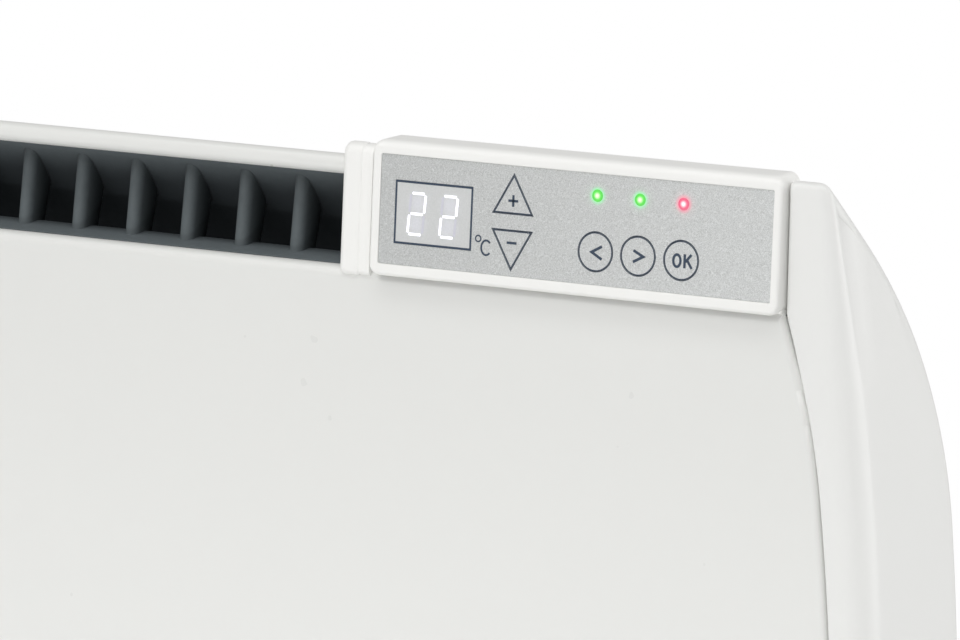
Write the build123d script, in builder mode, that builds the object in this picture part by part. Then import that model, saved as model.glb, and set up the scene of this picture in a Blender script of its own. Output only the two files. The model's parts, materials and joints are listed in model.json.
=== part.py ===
"""Wall panel convector heater with a plug-in digital thermostat.

Row frame: X to the right, Y towards the wall, Z up.  The origin lies on the wall,
in the middle of the four screw holes of the wall bracket.  All sizes in millimetres.
"""

import math
import os

from build123d import *

os.makedirs("parts", exist_ok=True)

# ---------------------------------------------------------------- driving sizes
heater_length = 720.0        # over both end caps
body_height = 366.0          # over the end caps
heater_depth = 84.0          # wall to the face of the front panel
wall_gap = 25.0              # wall to the back of the end caps
sheet = 1.0                  # steel of the front panel and the rear casing
cap_wall = 2.2               # moulded wall of the end caps
casing_inset = 2.0           # casing skin lies this far inside the cap skin

shoulder_angle = 48.0        # slope of the top and bottom shoulders, from level
nose_radius = 5.07           # front top corner of the end caps
knee_radius = 140.0          # from the sloping shoulder to the flat back
cap_lean = 3.0               # the cap's face falls back this far beside the thermostat
lean_start = 63.0            # height below the top where that begins

cap_edge_from_end = 31.0     # end of the heater to the straight part of the cap's edge
seam_bulge = 17.3            # how far the seam swings out at mid-height
seam_knee_drop = 4.7         # swing from mid-height to the knee of the seam
seam_knee_height = 54.0      # knee of the seam, below its top
seam_top_drop = 39.5         # top of the curved seam, below the top of the body
side_sagitta = 16.6          # bow of the heater's ends
seam_gap = 0.4               # between the panel's edge and the cap
rim_round = 3.4              # rounding from the cap's faces to its bowed end

rail_drop = 3.9              # top of the rolled rail, below the top of the body
rail_radius = 3.15           # rolled rail along the casing's front edges
panel_top_drop = 38.2        # top of the front panel, below the top of the body
panel_roll = 3.5             # rolled top and bottom of the front panel
panel_side_round = 2.0
panel_return = 10.0          # depth of the panel's folded edges
panel_rail_gap = 0.4         # lower edge of the panel above the lower rail

fin_pitch = 20.6             # outlet grille
fin_thickness = 3.0
fin_end_margin = 4.0
fin_depth = 9.0
fin_rake = 4.5
grille_skin = 1.2
grille_front_back = 13.0     # grille's front face behind the label
grille_bar_height = 4.5

inlet_slot = (34.0, 3.6)     # punched air inlets in the lower shoulder
inlet_pitch = (44.0, 9.0)
inlet_grid = (14, 4)

# ---- thermostat
tilt = 4.44                  # the display leans back
label_size = (139.0, 34.0)
label_from_end = 103.5       # centre of the label, from the right end
label_from_top = 18.4        # centre of the label, below the top of the body
label_proud = 1.5            # centre of the label in front of the panel's face
label_thickness = 0.5
label_depth = 0.5            # label sunk in the bezel
label_fit = 0.1
bezel_side = 2.4             # bezel beside the label
bezel_top = 4.4
bezel_bottom = 3.8
bezel_plate = 3.2            # front plate of the bezel
bezel_depth = 11.5           # front of the bezel to the back of its skirt
bezel_wall = 1.7
bezel_step = 2.5             # skirt starts above the lower lip
bezel_corner = 3.0
bezel_edge = 2.4
module_gap = 0.6             # module to collar and cap

display_size = (28.0, 19.8)
display_centre = (-50.15, -0.55)
display_fit = 0.1
pane_thickness = 1.5
display_body = (25.4, 19.0)
digit_centres = (-57.18, -45.63)
digit_level = -0.75
digit_width = 5.0            # between the centre lines of the upright segments
digit_height = 12.1          # between the centre lines of the top and bottom segments
digit_slant = 0.074
segment_width = 1.5
segment_joint = 0.35         # gap between neighbouring segments
segment_thickness = 0.4

key_travel = 0.4
key_radius = 6.0
key_row = -6.84
key_places = {"key_left": 8.08, "key_right": 23.08, "key_ok": 38.2}
key_clearance = 0.1          # each side of the outline
key_flange = 0.8
key_stem_radius = 1.6
triangle_half = 7.0
triangle_x = -21.7
triangle_up = (2.25, 14.25)      # base and apex
triangle_down = (-2.93, -15.0)
triangle_stems = {"key_up": 6.3, "key_down": -7.0}

led_radius = 1.5
led_row = 10.3
led_green_x = (8.05, 23.07)
led_red_x = 38.3
led_clearance = 0.15

board_depth = 7.2            # board's front behind the label's face
board_thickness = 1.6
switch_size = 6.0
switch_height = 2.3
switch_plunger = 0.4

back_plate = 1.6
back_box_depth = 21.0
back_box_clear = 0.3
box_half = 60.0

module_screw_radius = 1.2
module_screw_head = (2.2, 1.1)   # radius and height
boss_radius = 2.6
blade_half = 3.15
blade_thickness = 0.8
blade_x = (25.0, 35.0, 45.0)
blade_level = -13.6
blade_reach = 6.0
socket_block = (32.0, 7.0)
socket_fit = 0.3

# ---- thermostat cradle
collar_width = 11.1
collar_step = 3.6            # narrow band of the collar beside the module
collar_depth = 2.0           # collar's face behind the label's face
collar_band_depth = 2.8
collar_nose = 3.5
cradle_wall = 2.0
cradle_floor = 1.4
cradle_behind_box = 9.0      # cradle's bulkhead behind the module's box
cradle_tongue = 17.0         # roof reaches this far below the label's centre
collar_bottom = 21.5
panel_cover_gap = 0.25
notch_depth = 4.5            # the panel's notch clears the cradle floor back to this depth

# ---- heating gear
element_from_front = 30.0    # axis of the element, behind the panel's face
element_from_base = 95.0     # axis of the element, above the foot of the body
element_from_edge = 39.0
element_tube = 7.0
element_wing = 26.0
element_wing_thickness = 1.8
rod_radius = 4.2
bracket_thickness = 1.2
shield_thickness = 0.6
shield_y = -76.0
pin_terminal_radius = 2.0

# ---- wall bracket and hangers
upright_x = 160.0
upright_width = 30.0
hanger_from_knee = 15.87     # hanger pins, inside the end of the flat back
hanger_y = -12.0
hanger_pin_radius = 3.0
hanger_pin_fit = 0.08
bracket_sheet = 1.5
bracket_reach = 15.0         # bracket beyond the hangers
crossbar_height = 24.0
crossbar_from_hanger = 32.0
wall_hole_radius = 2.75
clip_opening = 0.35
tab_half_gap = 8.0

wire_radius = 1.2
wire_bend = 9.0
gland_from_edge = 59.0
gland_from_knee = 11.87
gland_bore = 4.0

# ---------------------------------------------------------------- derived places
half_length = heater_length / 2
top_z = body_height / 2
front_y = -heater_depth
back_y = -wall_gap
edge_x = half_length - cap_edge_from_end
seam_top_z = top_z - seam_top_drop
seam_knee_z = seam_top_z - seam_knee_height
rail_z = top_z - rail_drop - rail_radius
panel_top_z = top_z - panel_top_drop
panel_low_z = -(rail_z - rail_radius - panel_rail_gap)

slope_y = math.sin(math.radians(shoulder_angle))
slope_z = math.cos(math.radians(shoulder_angle))
nose_centre = (front_y + nose_radius, top_z - nose_radius)
shoulder_reach = slope_y * nose_centre[0] + slope_z * nose_centre[1] + nose_radius
knee_y = back_y - knee_radius
knee_z = (shoulder_reach - knee_radius - slope_y * knee_y) / slope_z

hanger_z = knee_z - hanger_from_knee
crossbar_z = hanger_z - crossbar_from_hanger
hole_spacing = (2 * upright_x, 2 * crossbar_z)
gland_place = (edge_x - gland_from_edge, -(knee_z - gland_from_knee))
element_centre = (front_y + element_from_front, -(top_z - element_from_base))
element_half = edge_x - element_from_edge

label_centre = (half_length - label_from_end, front_y - label_proud, top_z - label_from_top)
tilt_sin = math.sin(math.radians(tilt))
tilt_cos = math.cos(math.radians(tilt))
face = Plane(origin=label_centre, x_dir=(1, 0, 0), z_dir=(0, -tilt_cos, tilt_sin))

bezel_front = label_depth
plate_back = bezel_front - bezel_plate
skirt_back = bezel_front - bezel_depth
bezel_half = label_size[0] / 2 + bezel_side
bezel_high = label_size[1] / 2 + bezel_top
bezel_low = -(label_size[1] / 2 + bezel_bottom)
skirt_low = bezel_low + bezel_step
board_front = -board_depth
board_back = board_front - board_thickness
switch_top = board_front + switch_height
collar_x = label_centre[0] - bezel_half - module_gap
collar_left = collar_x - collar_width
cradle_back = back_box_depth + cradle_behind_box
floor_top = skirt_low - panel_cover_gap
floor_low = floor_top - cradle_floor


def shoulder_z(y, inset=0.0):
    """Height of the sloping shoulder's skin at depth y, inset from the cap's skin."""
    return nose_centre[1] + (nose_radius - inset - slope_y * (y - nose_centre[0])) / slope_z


def shoulder_y(z, inset=0.0):
    """Depth of the sloping shoulder's skin at height z."""
    return nose_centre[0] + (nose_radius - inset - slope_z * (z - nose_centre[1])) / slope_y


def skin_y(z, inset=0.0):
    """Depth of the skin at height z: sloping shoulder, knee or flat back."""
    radius = knee_radius - inset
    if z >= knee_z + radius * slope_z:
        return shoulder_y(z, inset)
    return knee_y + math.sqrt(radius**2 - max(z - knee_z, 0.0) ** 2)


def face_point(depth, level):
    """(y, z) of a point behind the label's face, at a level up the leaning face."""
    y = label_centre[1] + level * tilt_sin + depth * tilt_cos
    z = label_centre[2] + level * tilt_cos - depth * tilt_sin
    return (y, z)


def roof_point(depth, inset):
    """(y, z) where a plane behind the leaning face meets the shoulder's skin."""
    low = face_point(depth, 0.0)
    lean = tilt_sin / tilt_cos
    gap = shoulder_z(low[0], inset) - low[1]
    rise = gap / (1 + lean * slope_y / slope_z)
    return (low[0] + rise * lean, low[1] + rise)


def outline(points, radii):
    """A closed face with its own corner radius at every point."""
    with BuildSketch() as sketch:
        with BuildLine():
            FilletPolyline(*points, radius=radii, close=True)
        make_face()
    return sketch.sketch


def polygon(points):
    """A closed face with sharp corners."""
    with BuildSketch() as sketch:
        with BuildLine():
            Polyline(*points, close=True)
        make_face()
    return sketch.sketch


def body_section(inset):
    """Closed side view of the heater's body, in (y, z)."""
    y_front = front_y + inset
    y_back = back_y - inset
    z_front = shoulder_z(y_front, inset)
    z_back = shoulder_z(y_back, inset)
    points = [(y_front, -z_front), (y_front, z_front), (y_back, z_back), (y_back, -z_back)]
    corners = [nose_radius - inset, nose_radius - inset, knee_radius - inset, knee_radius - inset]
    return outline(points, corners)


def cap_section(inset):
    """Side view of an end cap, whose face leans back towards the top."""
    y_front = front_y + inset
    y_lean = y_front + cap_lean
    y_back = back_y - inset
    z_front = shoulder_z(y_front, inset)
    z_lean = shoulder_z(y_lean, inset)
    z_back = shoulder_z(y_back, inset)
    nose = nose_radius - cap_lean / 2
    points = [
        (y_front, -z_front),
        (y_front, top_z - lean_start),
        (y_lean, z_lean),
        (y_back, z_back),
        (y_back, -z_back),
    ]
    corners = [nose_radius - inset, 0, max(nose - inset, 0.8), knee_radius - inset, knee_radius - inset]
    return outline(points, corners)


def extruded(section, start, stop):
    """A side view drawn out along X."""
    with BuildPart() as solid:
        with BuildSketch(Plane.YZ.offset(start)):
            add(section)
        extrude(amount=stop - start)
    return solid.part


def seam_face(grow, z_low, z_high):
    """Front view inside the seam, in (x, z), grown or shrunk a little."""
    x_edge = edge_x + grow
    x_mid = x_edge + seam_bulge
    x_knee = x_mid - seam_knee_drop
    with BuildSketch() as sketch:
        with BuildLine():
            belly = ThreePointArc((x_knee, -seam_knee_z), (x_mid, 0), (x_knee, seam_knee_z))
            TangentArc((x_knee, seam_knee_z), (x_edge, seam_top_z), tangent=belly % 1)
            TangentArc((x_knee, -seam_knee_z), (x_edge, -seam_top_z), tangent=-(belly % 0))
            Polyline((x_edge, seam_top_z), (x_edge, z_high), (0, z_high))
            Polyline((x_edge, -seam_top_z), (x_edge, z_low), (0, z_low))
            mirror(about=Plane.YZ)
        make_face()
    return sketch.sketch


def tilted_block(u_range, v_range, front, back, corner=0.0):
    """A block square to the leaning face, from depth front to depth back."""
    width = u_range[1] - u_range[0]
    height = v_range[1] - v_range[0]
    with BuildPart() as block:
        with BuildSketch(face.offset(front)):
            with Locations(((u_range[0] + u_range[1]) / 2, (v_range[0] + v_range[1]) / 2)):
                Rectangle(width, height)
            if corner > 0:
                fillet(vertices(), corner)
        extrude(amount=back - front)
    return block.part


def save(builder, name):
    """Label a finished piece and write it."""
    builder.part.label = name
    export_step(builder.part, f"parts/{name}.step")


# ---------------------------------------------------------------- front panel
def panel_volume(inset):
    """The panel's outer or inner skin as a full block with rolled edges."""
    face_y = front_y + inset
    return_y = front_y + panel_return
    low = panel_low_z + inset
    high = panel_top_z - inset
    roll = panel_roll - inset
    with BuildPart() as block:
        with BuildSketch(Plane.XZ.offset(-face_y)):
            add(seam_face(-seam_gap - inset, low, high))
        extrude(amount=-panel_return)
        around = block.faces().sort_by(Axis.Y)[0].edges().sort_by(Axis.Z)
        fillet(around[1:-1], panel_side_round - inset)
        with BuildSketch(Plane.YZ):
            corners = [(face_y, low), (face_y, high), (return_y + inset, high), (return_y + inset, low)]
            add(outline(corners, [roll, roll, 0, 0]))
        extrude(amount=half_length, both=True, mode=Mode.INTERSECT)
    return block.part


notch_z = face_point(notch_depth, floor_low)[1] - panel_cover_gap

with BuildPart() as front_panel:
    add(panel_volume(0.0))
    add(panel_volume(sheet), mode=Mode.SUBTRACT)
    with BuildSketch(Plane.XZ.offset(-front_y + panel_return)):
        with Locations((collar_left - panel_cover_gap, notch_z)):
            Rectangle(half_length, body_height, align=(Align.MIN, Align.MIN))
    extrude(amount=-3 * panel_return, mode=Mode.SUBTRACT)
    # the folded edge stops a little lower, under the cradle's floor
    with BuildSketch(Plane.XZ.offset(-front_y - 2.5 * sheet)):
        with Locations((collar_left - panel_cover_gap, notch_z - 1.2)):
            Rectangle(half_length, body_height, align=(Align.MIN, Align.MIN))
    extrude(amount=-2 * panel_return, mode=Mode.SUBTRACT)
save(front_panel, "front_panel")

# ---------------------------------------------------------------- rear casing
casing_back_y = back_y - casing_inset
rail_y = shoulder_y(rail_z, casing_inset + rail_radius)
casing_cut_y = rail_y + rail_radius * slope_y
casing_half = edge_x - seam_gap
casing_notch_z = label_centre[2] - cradle_tongue + 5.0


def slope_plane(x, z, inset):
    """Plane on the skin, normal outwards: upper shoulder or knee for z > 0, else lower."""
    y = skin_y(abs(z), inset)
    up = math.copysign(1.0, z)
    rise = min((abs(z) - knee_z) / (knee_radius - inset), slope_z)
    return Plane(origin=(x, y, z), x_dir=(1, 0, 0), z_dir=(0, math.sqrt(1 - rise**2), up * rise))


casing_screw_x = edge_x - 14.0
screw_flange = 6.0           # flange beyond the casing's screws
casing_screw_z = (6.0 - hanger_z, 0.0, hanger_z - 6.0)
casing_screw_radius = 1.9
cradle_screw_x = (collar_left + 20.0, edge_x - 20.0)
cradle_screw_z = label_centre[2] - cradle_tongue + 2.5
inlet_mid_z = -(top_z - 27.5)
hanger_places = [(x, z) for x in (-upright_x, upright_x) for z in (-hanger_z, hanger_z)]

with BuildPart() as rear_casing:
    with BuildSketch(Plane.YZ.offset(-casing_half)):
        add(body_section(casing_inset))
        add(body_section(casing_inset + sheet), mode=Mode.SUBTRACT)
        with Locations((casing_cut_y, 0)):
            Rectangle(heater_depth, 2 * body_height, align=(Align.MAX, Align.CENTER), mode=Mode.SUBTRACT)
        with Locations((rail_y, rail_z), (rail_y, -rail_z)):
            Circle(rail_radius)
        with Locations((rail_y, rail_z), (rail_y, -rail_z)):
            Circle(rail_radius - sheet, mode=Mode.SUBTRACT)
    extrude(amount=2 * casing_half)
    # the corner taken by the thermostat cradle
    with BuildSketch(Plane.XZ.offset(heater_depth + casing_inset)):
        with Locations((collar_left - seam_gap, casing_notch_z)):
            Rectangle(half_length, body_height, align=(Align.MIN, Align.MIN))
    extrude(amount=-heater_depth, mode=Mode.SUBTRACT)
    # air inlets along the lower shoulder
    with BuildSketch(slope_plane(0, inlet_mid_z, casing_inset).offset(sheet)):
        with GridLocations(inlet_pitch[0], inlet_pitch[1], inlet_grid[0], inlet_grid[1]):
            SlotOverall(inlet_slot[0], inlet_slot[1])
    extrude(amount=-3 * sheet, mode=Mode.SUBTRACT)
    # screw holes in the back, and the opening for the cable gland
    with BuildSketch(Plane.XZ.offset(-casing_back_y - sheet)):
        with Locations([(x, z) for x in (-casing_screw_x, casing_screw_x) for z in casing_screw_z]):
            Circle(casing_screw_radius + 0.1)
        with Locations(gland_place):
            Circle(gland_bore + 4.0)
    extrude(amount=3 * sheet, both=True, mode=Mode.SUBTRACT)
    for screw_x in cradle_screw_x:
        with BuildSketch(slope_plane(screw_x, cradle_screw_z, 0.0)):
            Circle(casing_screw_radius + 0.1)
        extrude(amount=-casing_inset - 3 * sheet, mode=Mode.SUBTRACT)
save(rear_casing, "rear_casing")


# ---------------------------------------------------------------- end caps
def end_volume(inset, x_from, rim):
    """The right end of the body, from x_from out to the bowed end face."""
    x_end = half_length - inset
    x_corner = x_end - side_sagitta
    z_corner = top_z
    with BuildPart() as volume:
        with BuildSketch(Plane.YZ.offset(x_from)):
            add(cap_section(inset))
        extrude(amount=half_length - x_from + 1)
        with BuildSketch(Plane.XZ):
            with BuildLine():
                ThreePointArc((x_corner, -z_corner), (x_end, 0), (x_corner, z_corner))
                Polyline(
                    (x_corner, z_corner),
                    (x_corner, z_corner + 1),
                    (x_from - 1, z_corner + 1),
                    (x_from - 1, -z_corner - 1),
                    (x_corner, -z_corner - 1),
                    (x_corner, -z_corner),
                )
            make_face()
        extrude(amount=2 * heater_depth, both=True, mode=Mode.INTERSECT)
        if rim > 0:
            bowed = volume.faces().filter_by(GeomType.CYLINDER).sort_by(Axis.X)[-1]
            fillet(bowed.edges(), rim)
    return volume.part


cap_inner_wall = 2.0
cap_wall_low_z = face_point(0, floor_low)[1] - 2.0
cap_boss_z = top_z - 83.0
cap_boss_places = [(front_y + 30.0, z) for z in (cap_boss_z, 0.0, -cap_boss_z)]
cap_boss_radius = 4.0
cap_screw_radius = 1.5
end_plate_x = edge_x - 7.0
end_plate_thickness = 1.2
boss_face_x = end_plate_x + end_plate_thickness / 2


def end_cap(flip):
    """Moulded end cap; the left one is the mirror image of the right one."""
    with BuildPart() as cap:
        add(end_volume(0.0, edge_x, rim_round))
        add(end_volume(cap_wall, edge_x - 1, 0.0), mode=Mode.SUBTRACT)
        # inner wall beside the thermostat and the air outlet
        with BuildSketch(Plane.YZ.offset(edge_x)):
            add(cap_section(cap_wall / 2))
            with Locations((0, cap_wall_low_z)):
                Rectangle(4 * heater_depth, body_height, align=(Align.CENTER, Align.MIN), mode=Mode.INTERSECT)
        extrude(amount=cap_inner_wall)
        # room for the folded edge of the front panel
        with BuildSketch(Plane.XZ.offset(heater_depth * 2)):
            add(seam_face(0.0, panel_low_z - panel_rail_gap, cap_wall_low_z))
        extrude(amount=-(heater_depth + panel_return + 1.5), mode=Mode.SUBTRACT)
        # screw bosses that stand on the end plate
        for boss_place in cap_boss_places:
            bow = side_sagitta * (boss_place[1] / top_z) ** 2
            with BuildSketch(Plane.YZ.offset(boss_face_x)):
                with Locations(boss_place):
                    Circle(cap_boss_radius)
                    Circle(cap_screw_radius, mode=Mode.SUBTRACT)
            extrude(amount=half_length - bow - cap_wall / 2 - boss_face_x)
        if flip:
            mirror(about=Plane.YZ, mode=Mode.REPLACE)
    return cap


right_end_cap = end_cap(False)
save(right_end_cap, "right_end_cap")
left_end_cap = end_cap(True)
save(left_end_cap, "left_end_cap")

# ---------------------------------------------------------------- end plates
plate_front_y = front_y + sheet
plate_high_z = face_point(0, floor_low)[1] - 4.5
plate_low_z = panel_low_z + sheet
plate_window = (30.0, 60.0)


def end_plate(flip):
    """Sheet end wall that ties the front panel, the casing and the cap together."""
    with BuildPart() as plate:
        with BuildSketch(Plane.YZ.offset(end_plate_x - end_plate_thickness / 2)):
            add(body_section(casing_inset + sheet))
            with Locations((plate_front_y, (plate_low_z + plate_high_z) / 2)):
                Rectangle(
                    heater_depth,
                    plate_high_z - plate_low_z,
                    align=(Align.MIN, Align.CENTER),
                    mode=Mode.INTERSECT,
                )
            # corners cleared for the panel's rolls
            with Locations((plate_front_y, plate_low_z), (plate_front_y, plate_high_z)):
                Rectangle(2 * panel_roll, 2 * panel_roll, mode=Mode.SUBTRACT)
            with Locations(cap_boss_places):
                Circle(cap_screw_radius + 0.2, mode=Mode.SUBTRACT)
            with Locations((front_y + 30.0, 50.0), (front_y + 30.0, -50.0)):
                RectangleRounded(plate_window[0], plate_window[1], 4.0, mode=Mode.SUBTRACT)
        extrude(amount=end_plate_thickness)
        # folded flange against the back of the casing
        with BuildSketch(Plane.YZ.offset(end_plate_x - end_plate_thickness / 2)):
            with Locations((casing_back_y - sheet, 0)):
                Rectangle(1.2, 2 * (hanger_z + 6.0), align=(Align.MAX, Align.CENTER))
        extrude(amount=-(end_plate_x - casing_screw_x + screw_flange))
        with BuildSketch(Plane.XZ.offset(-casing_back_y - sheet)):
            with Locations([(casing_screw_x, z) for z in casing_screw_z]):
                Circle(casing_screw_radius + 0.1)
        extrude(amount=5.0, both=True, mode=Mode.SUBTRACT)
        if flip:
            mirror(about=Plane.YZ, mode=Mode.REPLACE)
    return plate


right_end_plate = end_plate(False)
save(right_end_plate, "right_end_plate")
left_end_plate = end_plate(True)
save(left_end_plate, "left_end_plate")

# ---------------------------------------------------------------- outlet grille
grille_left = -casing_half
grille_right = collar_left - seam_gap
grille_front_y = label_centre[1] + grille_front_back
grille_low_z = panel_top_z - 2.8
skin_inset = casing_inset + sheet
fin_high_z = shoulder_z(grille_front_y + fin_rake, skin_inset + grille_skin)
fin_count = int((grille_right - grille_left - 2 * fin_end_margin) / fin_pitch) + 1

with BuildPart() as outlet_grille:
    # skin under the casing's shoulder
    grille_skin_y = (casing_cut_y + 1.2, grille_front_y + fin_depth + fin_rake + 8.0)
    with BuildSketch(Plane.YZ.offset(grille_left)):
        add(body_section(skin_inset))
        add(body_section(skin_inset + grille_skin), mode=Mode.SUBTRACT)
        with Locations((grille_skin_y[0], 0)):
            Rectangle(
                grille_skin_y[1] - grille_skin_y[0],
                body_height,
                align=(Align.MIN, Align.MIN),
                mode=Mode.INTERSECT,
            )
    extrude(amount=grille_right - grille_left)
    # rear wall, from under the shoulder down to the foot of the fins
    with BuildSketch(Plane.YZ.offset(grille_left)):
        with Locations((grille_skin_y[1] - grille_skin, grille_low_z)):
            Rectangle(grille_skin, top_z - grille_low_z, align=(Align.MIN, Align.MIN))
        add(body_section(skin_inset), mode=Mode.INTERSECT)
    extrude(amount=grille_right - grille_left)
    # bar along the foot of the fins
    with BuildSketch(Plane.YZ.offset(grille_left)):
        with Locations((grille_front_y, grille_low_z)):
            Rectangle(1.6, grille_bar_height, align=(Align.MIN, Align.MIN))
    extrude(amount=grille_right - grille_left)
    # leaning fins
    fin_top_y = (grille_front_y + fin_rake, grille_front_y + fin_rake + fin_depth)
    fin_section = polygon(
        [
            (grille_front_y, grille_low_z),
            (fin_top_y[0], fin_high_z + 0.3),
            (fin_top_y[1], shoulder_z(fin_top_y[1], skin_inset + 0.9)),
            (grille_front_y + fin_depth, grille_low_z),
        ]
    )
    fin_centres = [grille_right - fin_end_margin - fin_pitch * step for step in range(fin_count)]
    for fin_x in fin_centres:
        with BuildSketch(Plane.YZ.offset(fin_x - fin_thickness / 2)):
            add(fin_section)
        extrude(amount=fin_thickness)
save(outlet_grille, "outlet_grille")

# ---------------------------------------------------------------- thermostat cradle
tongue_z = label_centre[2] - cradle_tongue


def cradle_section(depth, low_front):
    """Side view of the cradle: leaning face, nose, sloping roof, bulkhead, floor and tongue."""
    roof_end = roof_point(cradle_back, 0.0)
    points = [*low_front, roof_point(depth, 0.0), roof_end, face_point(cradle_back, floor_low)]
    radii = [0] * len(low_front) + [collar_nose, 0, 0]
    with BuildSketch() as sketch:
        add(outline(points, radii))
        with BuildSketch() as tongue:
            add(body_section(0.0))
            add(body_section(cradle_wall), mode=Mode.SUBTRACT)
            with Locations((roof_end[0] - cradle_wall, tongue_z)):
                Rectangle(heater_depth, body_height, align=(Align.MIN, Align.MIN), mode=Mode.INTERSECT)
        add(tongue.sketch)
        # nothing stands proud of the knee
        with BuildSketch() as beyond:
            with Locations((knee_y + knee_radius * slope_y, 0)):
                Rectangle(heater_depth, body_height, align=(Align.MIN, Align.MIN))
            add(body_section(0.0), mode=Mode.SUBTRACT)
        add(beyond.sketch, mode=Mode.SUBTRACT)
    return sketch.sketch


def hollow_section(front_depth):
    """Side view of the space between floor and roof, up to the bulkhead."""
    back_depth = cradle_back - cradle_wall
    return polygon(
        [
            face_point(front_depth, floor_top),
            roof_point(front_depth, cradle_wall),
            roof_point(back_depth, cradle_wall),
            face_point(back_depth, floor_top),
        ]
    )


pocket_depth = -skirt_back + 0.3
lip_y = front_y - panel_cover_gap
lip_z = face_point(collar_depth, -collar_bottom)[1]
collar_foot = [
    (lip_y, face_point(0, floor_low)[1]),
    (lip_y, lip_z),
    face_point(collar_depth, -collar_bottom),
]
band_foot = [
    (lip_y, face_point(0, floor_low)[1]),
    (lip_y, lip_z),
    face_point(collar_band_depth - 0.3, -collar_bottom),
]
cradle_end = edge_x - seam_gap
wire_hole_x = blade_x[1]

with BuildPart() as thermostat_cradle:
    add(extruded(cradle_section(collar_depth, collar_foot), collar_left, collar_x - collar_step))
    add(extruded(cradle_section(collar_band_depth - 0.3, band_foot), collar_x - collar_step, collar_x))
    add(extruded(hollow_section(collar_depth + 2.4), collar_left + 2.0, collar_x - 1.8), mode=Mode.SUBTRACT)
    floor_section = cradle_section(collar_band_depth, [face_point(collar_band_depth, floor_low)])
    add(extruded(floor_section, collar_x, cradle_end))
    pocket = polygon(
        [
            face_point(-6.0, floor_top),
            face_point(-6.0, body_height),
            face_point(pocket_depth, body_height),
            face_point(pocket_depth, floor_top),
        ]
    )
    add(extruded(pocket, collar_x, half_length), mode=Mode.SUBTRACT)
    add(extruded(hollow_section(pocket_depth - 0.1), collar_x, half_length), mode=Mode.SUBTRACT)
    # wire opening in the floor under the socket
    with BuildSketch(Plane.XY.offset(face_point(0, floor_low)[1] - 6.0)):
        with Locations((label_centre[0] + wire_hole_x, face_point(cradle_back - 5.0, 0)[0] - 1.3)):
            RectangleRounded(20.0, 4.0, 1.5)
    extrude(amount=8.6, mode=Mode.SUBTRACT)
    # screw holes through the tongue
    for screw_x in cradle_screw_x:
        with BuildSketch(slope_plane(screw_x, cradle_screw_z, 0.0).offset(sheet)):
            Circle(casing_screw_radius + 0.1)
        extrude(amount=-6 * sheet, mode=Mode.SUBTRACT)
save(thermostat_cradle, "thermostat_cradle")

socket_low = floor_top
socket_front = back_box_depth + 1.2
socket_back = cradle_back - cradle_wall
with BuildPart() as cradle_socket:
    add(
        tilted_block(
            (wire_hole_x - socket_block[0] / 2, wire_hole_x + socket_block[0] / 2),
            (socket_low, socket_low + socket_block[1]),
            -socket_front,
            -socket_back,
        )
    )
    with BuildSketch(face.offset(-socket_front)):
        with Locations([(x, blade_level) for x in blade_x]):
            Rectangle(2 * blade_half + 2 * socket_fit, blade_thickness + 2 * socket_fit)
    extrude(amount=-(socket_back - socket_front - 0.6), mode=Mode.SUBTRACT)
save(cradle_socket, "cradle_socket")

# ---------------------------------------------------------------- thermostat module
plate_sides = ((-bezel_half, bezel_half), (bezel_low, bezel_high))
skirt_levels = (skirt_low, bezel_high)
hollow_half = bezel_half - bezel_wall
hollow_levels = (skirt_low + bezel_wall, bezel_high - bezel_wall)
screw_u = hollow_half - 4.5
module_screw_places = [(side * screw_u, level) for side in (-1, 1) for level in (14.0, -13.0)]


def triangle_key(levels, grow):
    """Triangular key outline, grown or shrunk square to its sides."""
    base, apex = levels
    points = [(triangle_x - triangle_half, base), (triangle_x + triangle_half, base), (triangle_x, apex)]
    with BuildSketch() as sketch:
        with BuildLine():
            Polyline(*points, close=True)
        make_face()
        offset(amount=grow, kind=Kind.INTERSECTION)
    return sketch.sketch


def key_openings(grow):
    """Outlines of all five keys on the label."""
    with BuildSketch() as sketch:
        with Locations([(x, key_row) for x in key_places.values()]):
            Circle(key_radius + grow)
        add(triangle_key(triangle_up, grow))
        add(triangle_key(triangle_down, grow))
    return sketch.sketch


def lamp_and_display_openings():
    """Outlines of the lamp holes and the display window."""
    with BuildSketch() as sketch:
        with Locations([(x, led_row) for x in (*led_green_x, led_red_x)]):
            Circle(led_radius + led_clearance)
        with Locations(display_centre):
            Rectangle(display_size[0], display_size[1])
    return sketch.sketch


with BuildPart() as bezel_shell:
    add(tilted_block(plate_sides[0], plate_sides[1], bezel_front, plate_back, bezel_corner))
    front_rim = bezel_shell.faces().sort_by(Axis(label_centre, tuple(face.z_dir)))[-1]
    fillet(front_rim.edges(), bezel_edge)
    add(tilted_block(plate_sides[0], skirt_levels, plate_back, skirt_back, bezel_corner))
    hollow = tilted_block((-hollow_half, hollow_half), hollow_levels, plate_back, skirt_back - 1)
    add(hollow, mode=Mode.SUBTRACT)
    with BuildSketch(face.offset(bezel_front)):
        Rectangle(label_size[0] + 2 * label_fit, label_size[1] + 2 * label_fit)
    extrude(amount=-(label_depth + label_thickness), mode=Mode.SUBTRACT)
    with BuildSketch(face.offset(bezel_front)):
        add(key_openings(key_clearance))
        add(lamp_and_display_openings())
    extrude(amount=-2 * bezel_plate, mode=Mode.SUBTRACT)
    # screw bosses behind the plate
    with BuildSketch(face.offset(plate_back)):
        with Locations(module_screw_places):
            Circle(boss_radius)
            Circle(module_screw_radius + 0.1, mode=Mode.SUBTRACT)
    extrude(amount=-(plate_back - skirt_back - back_plate))
save(bezel_shell, "bezel_shell")

with BuildPart() as label_film:
    with BuildSketch(face):
        Rectangle(label_size[0], label_size[1])
        add(key_openings(key_clearance), mode=Mode.SUBTRACT)
        add(lamp_and_display_openings(), mode=Mode.SUBTRACT)
    extrude(amount=-label_thickness)
save(label_film, "label_film")

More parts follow.
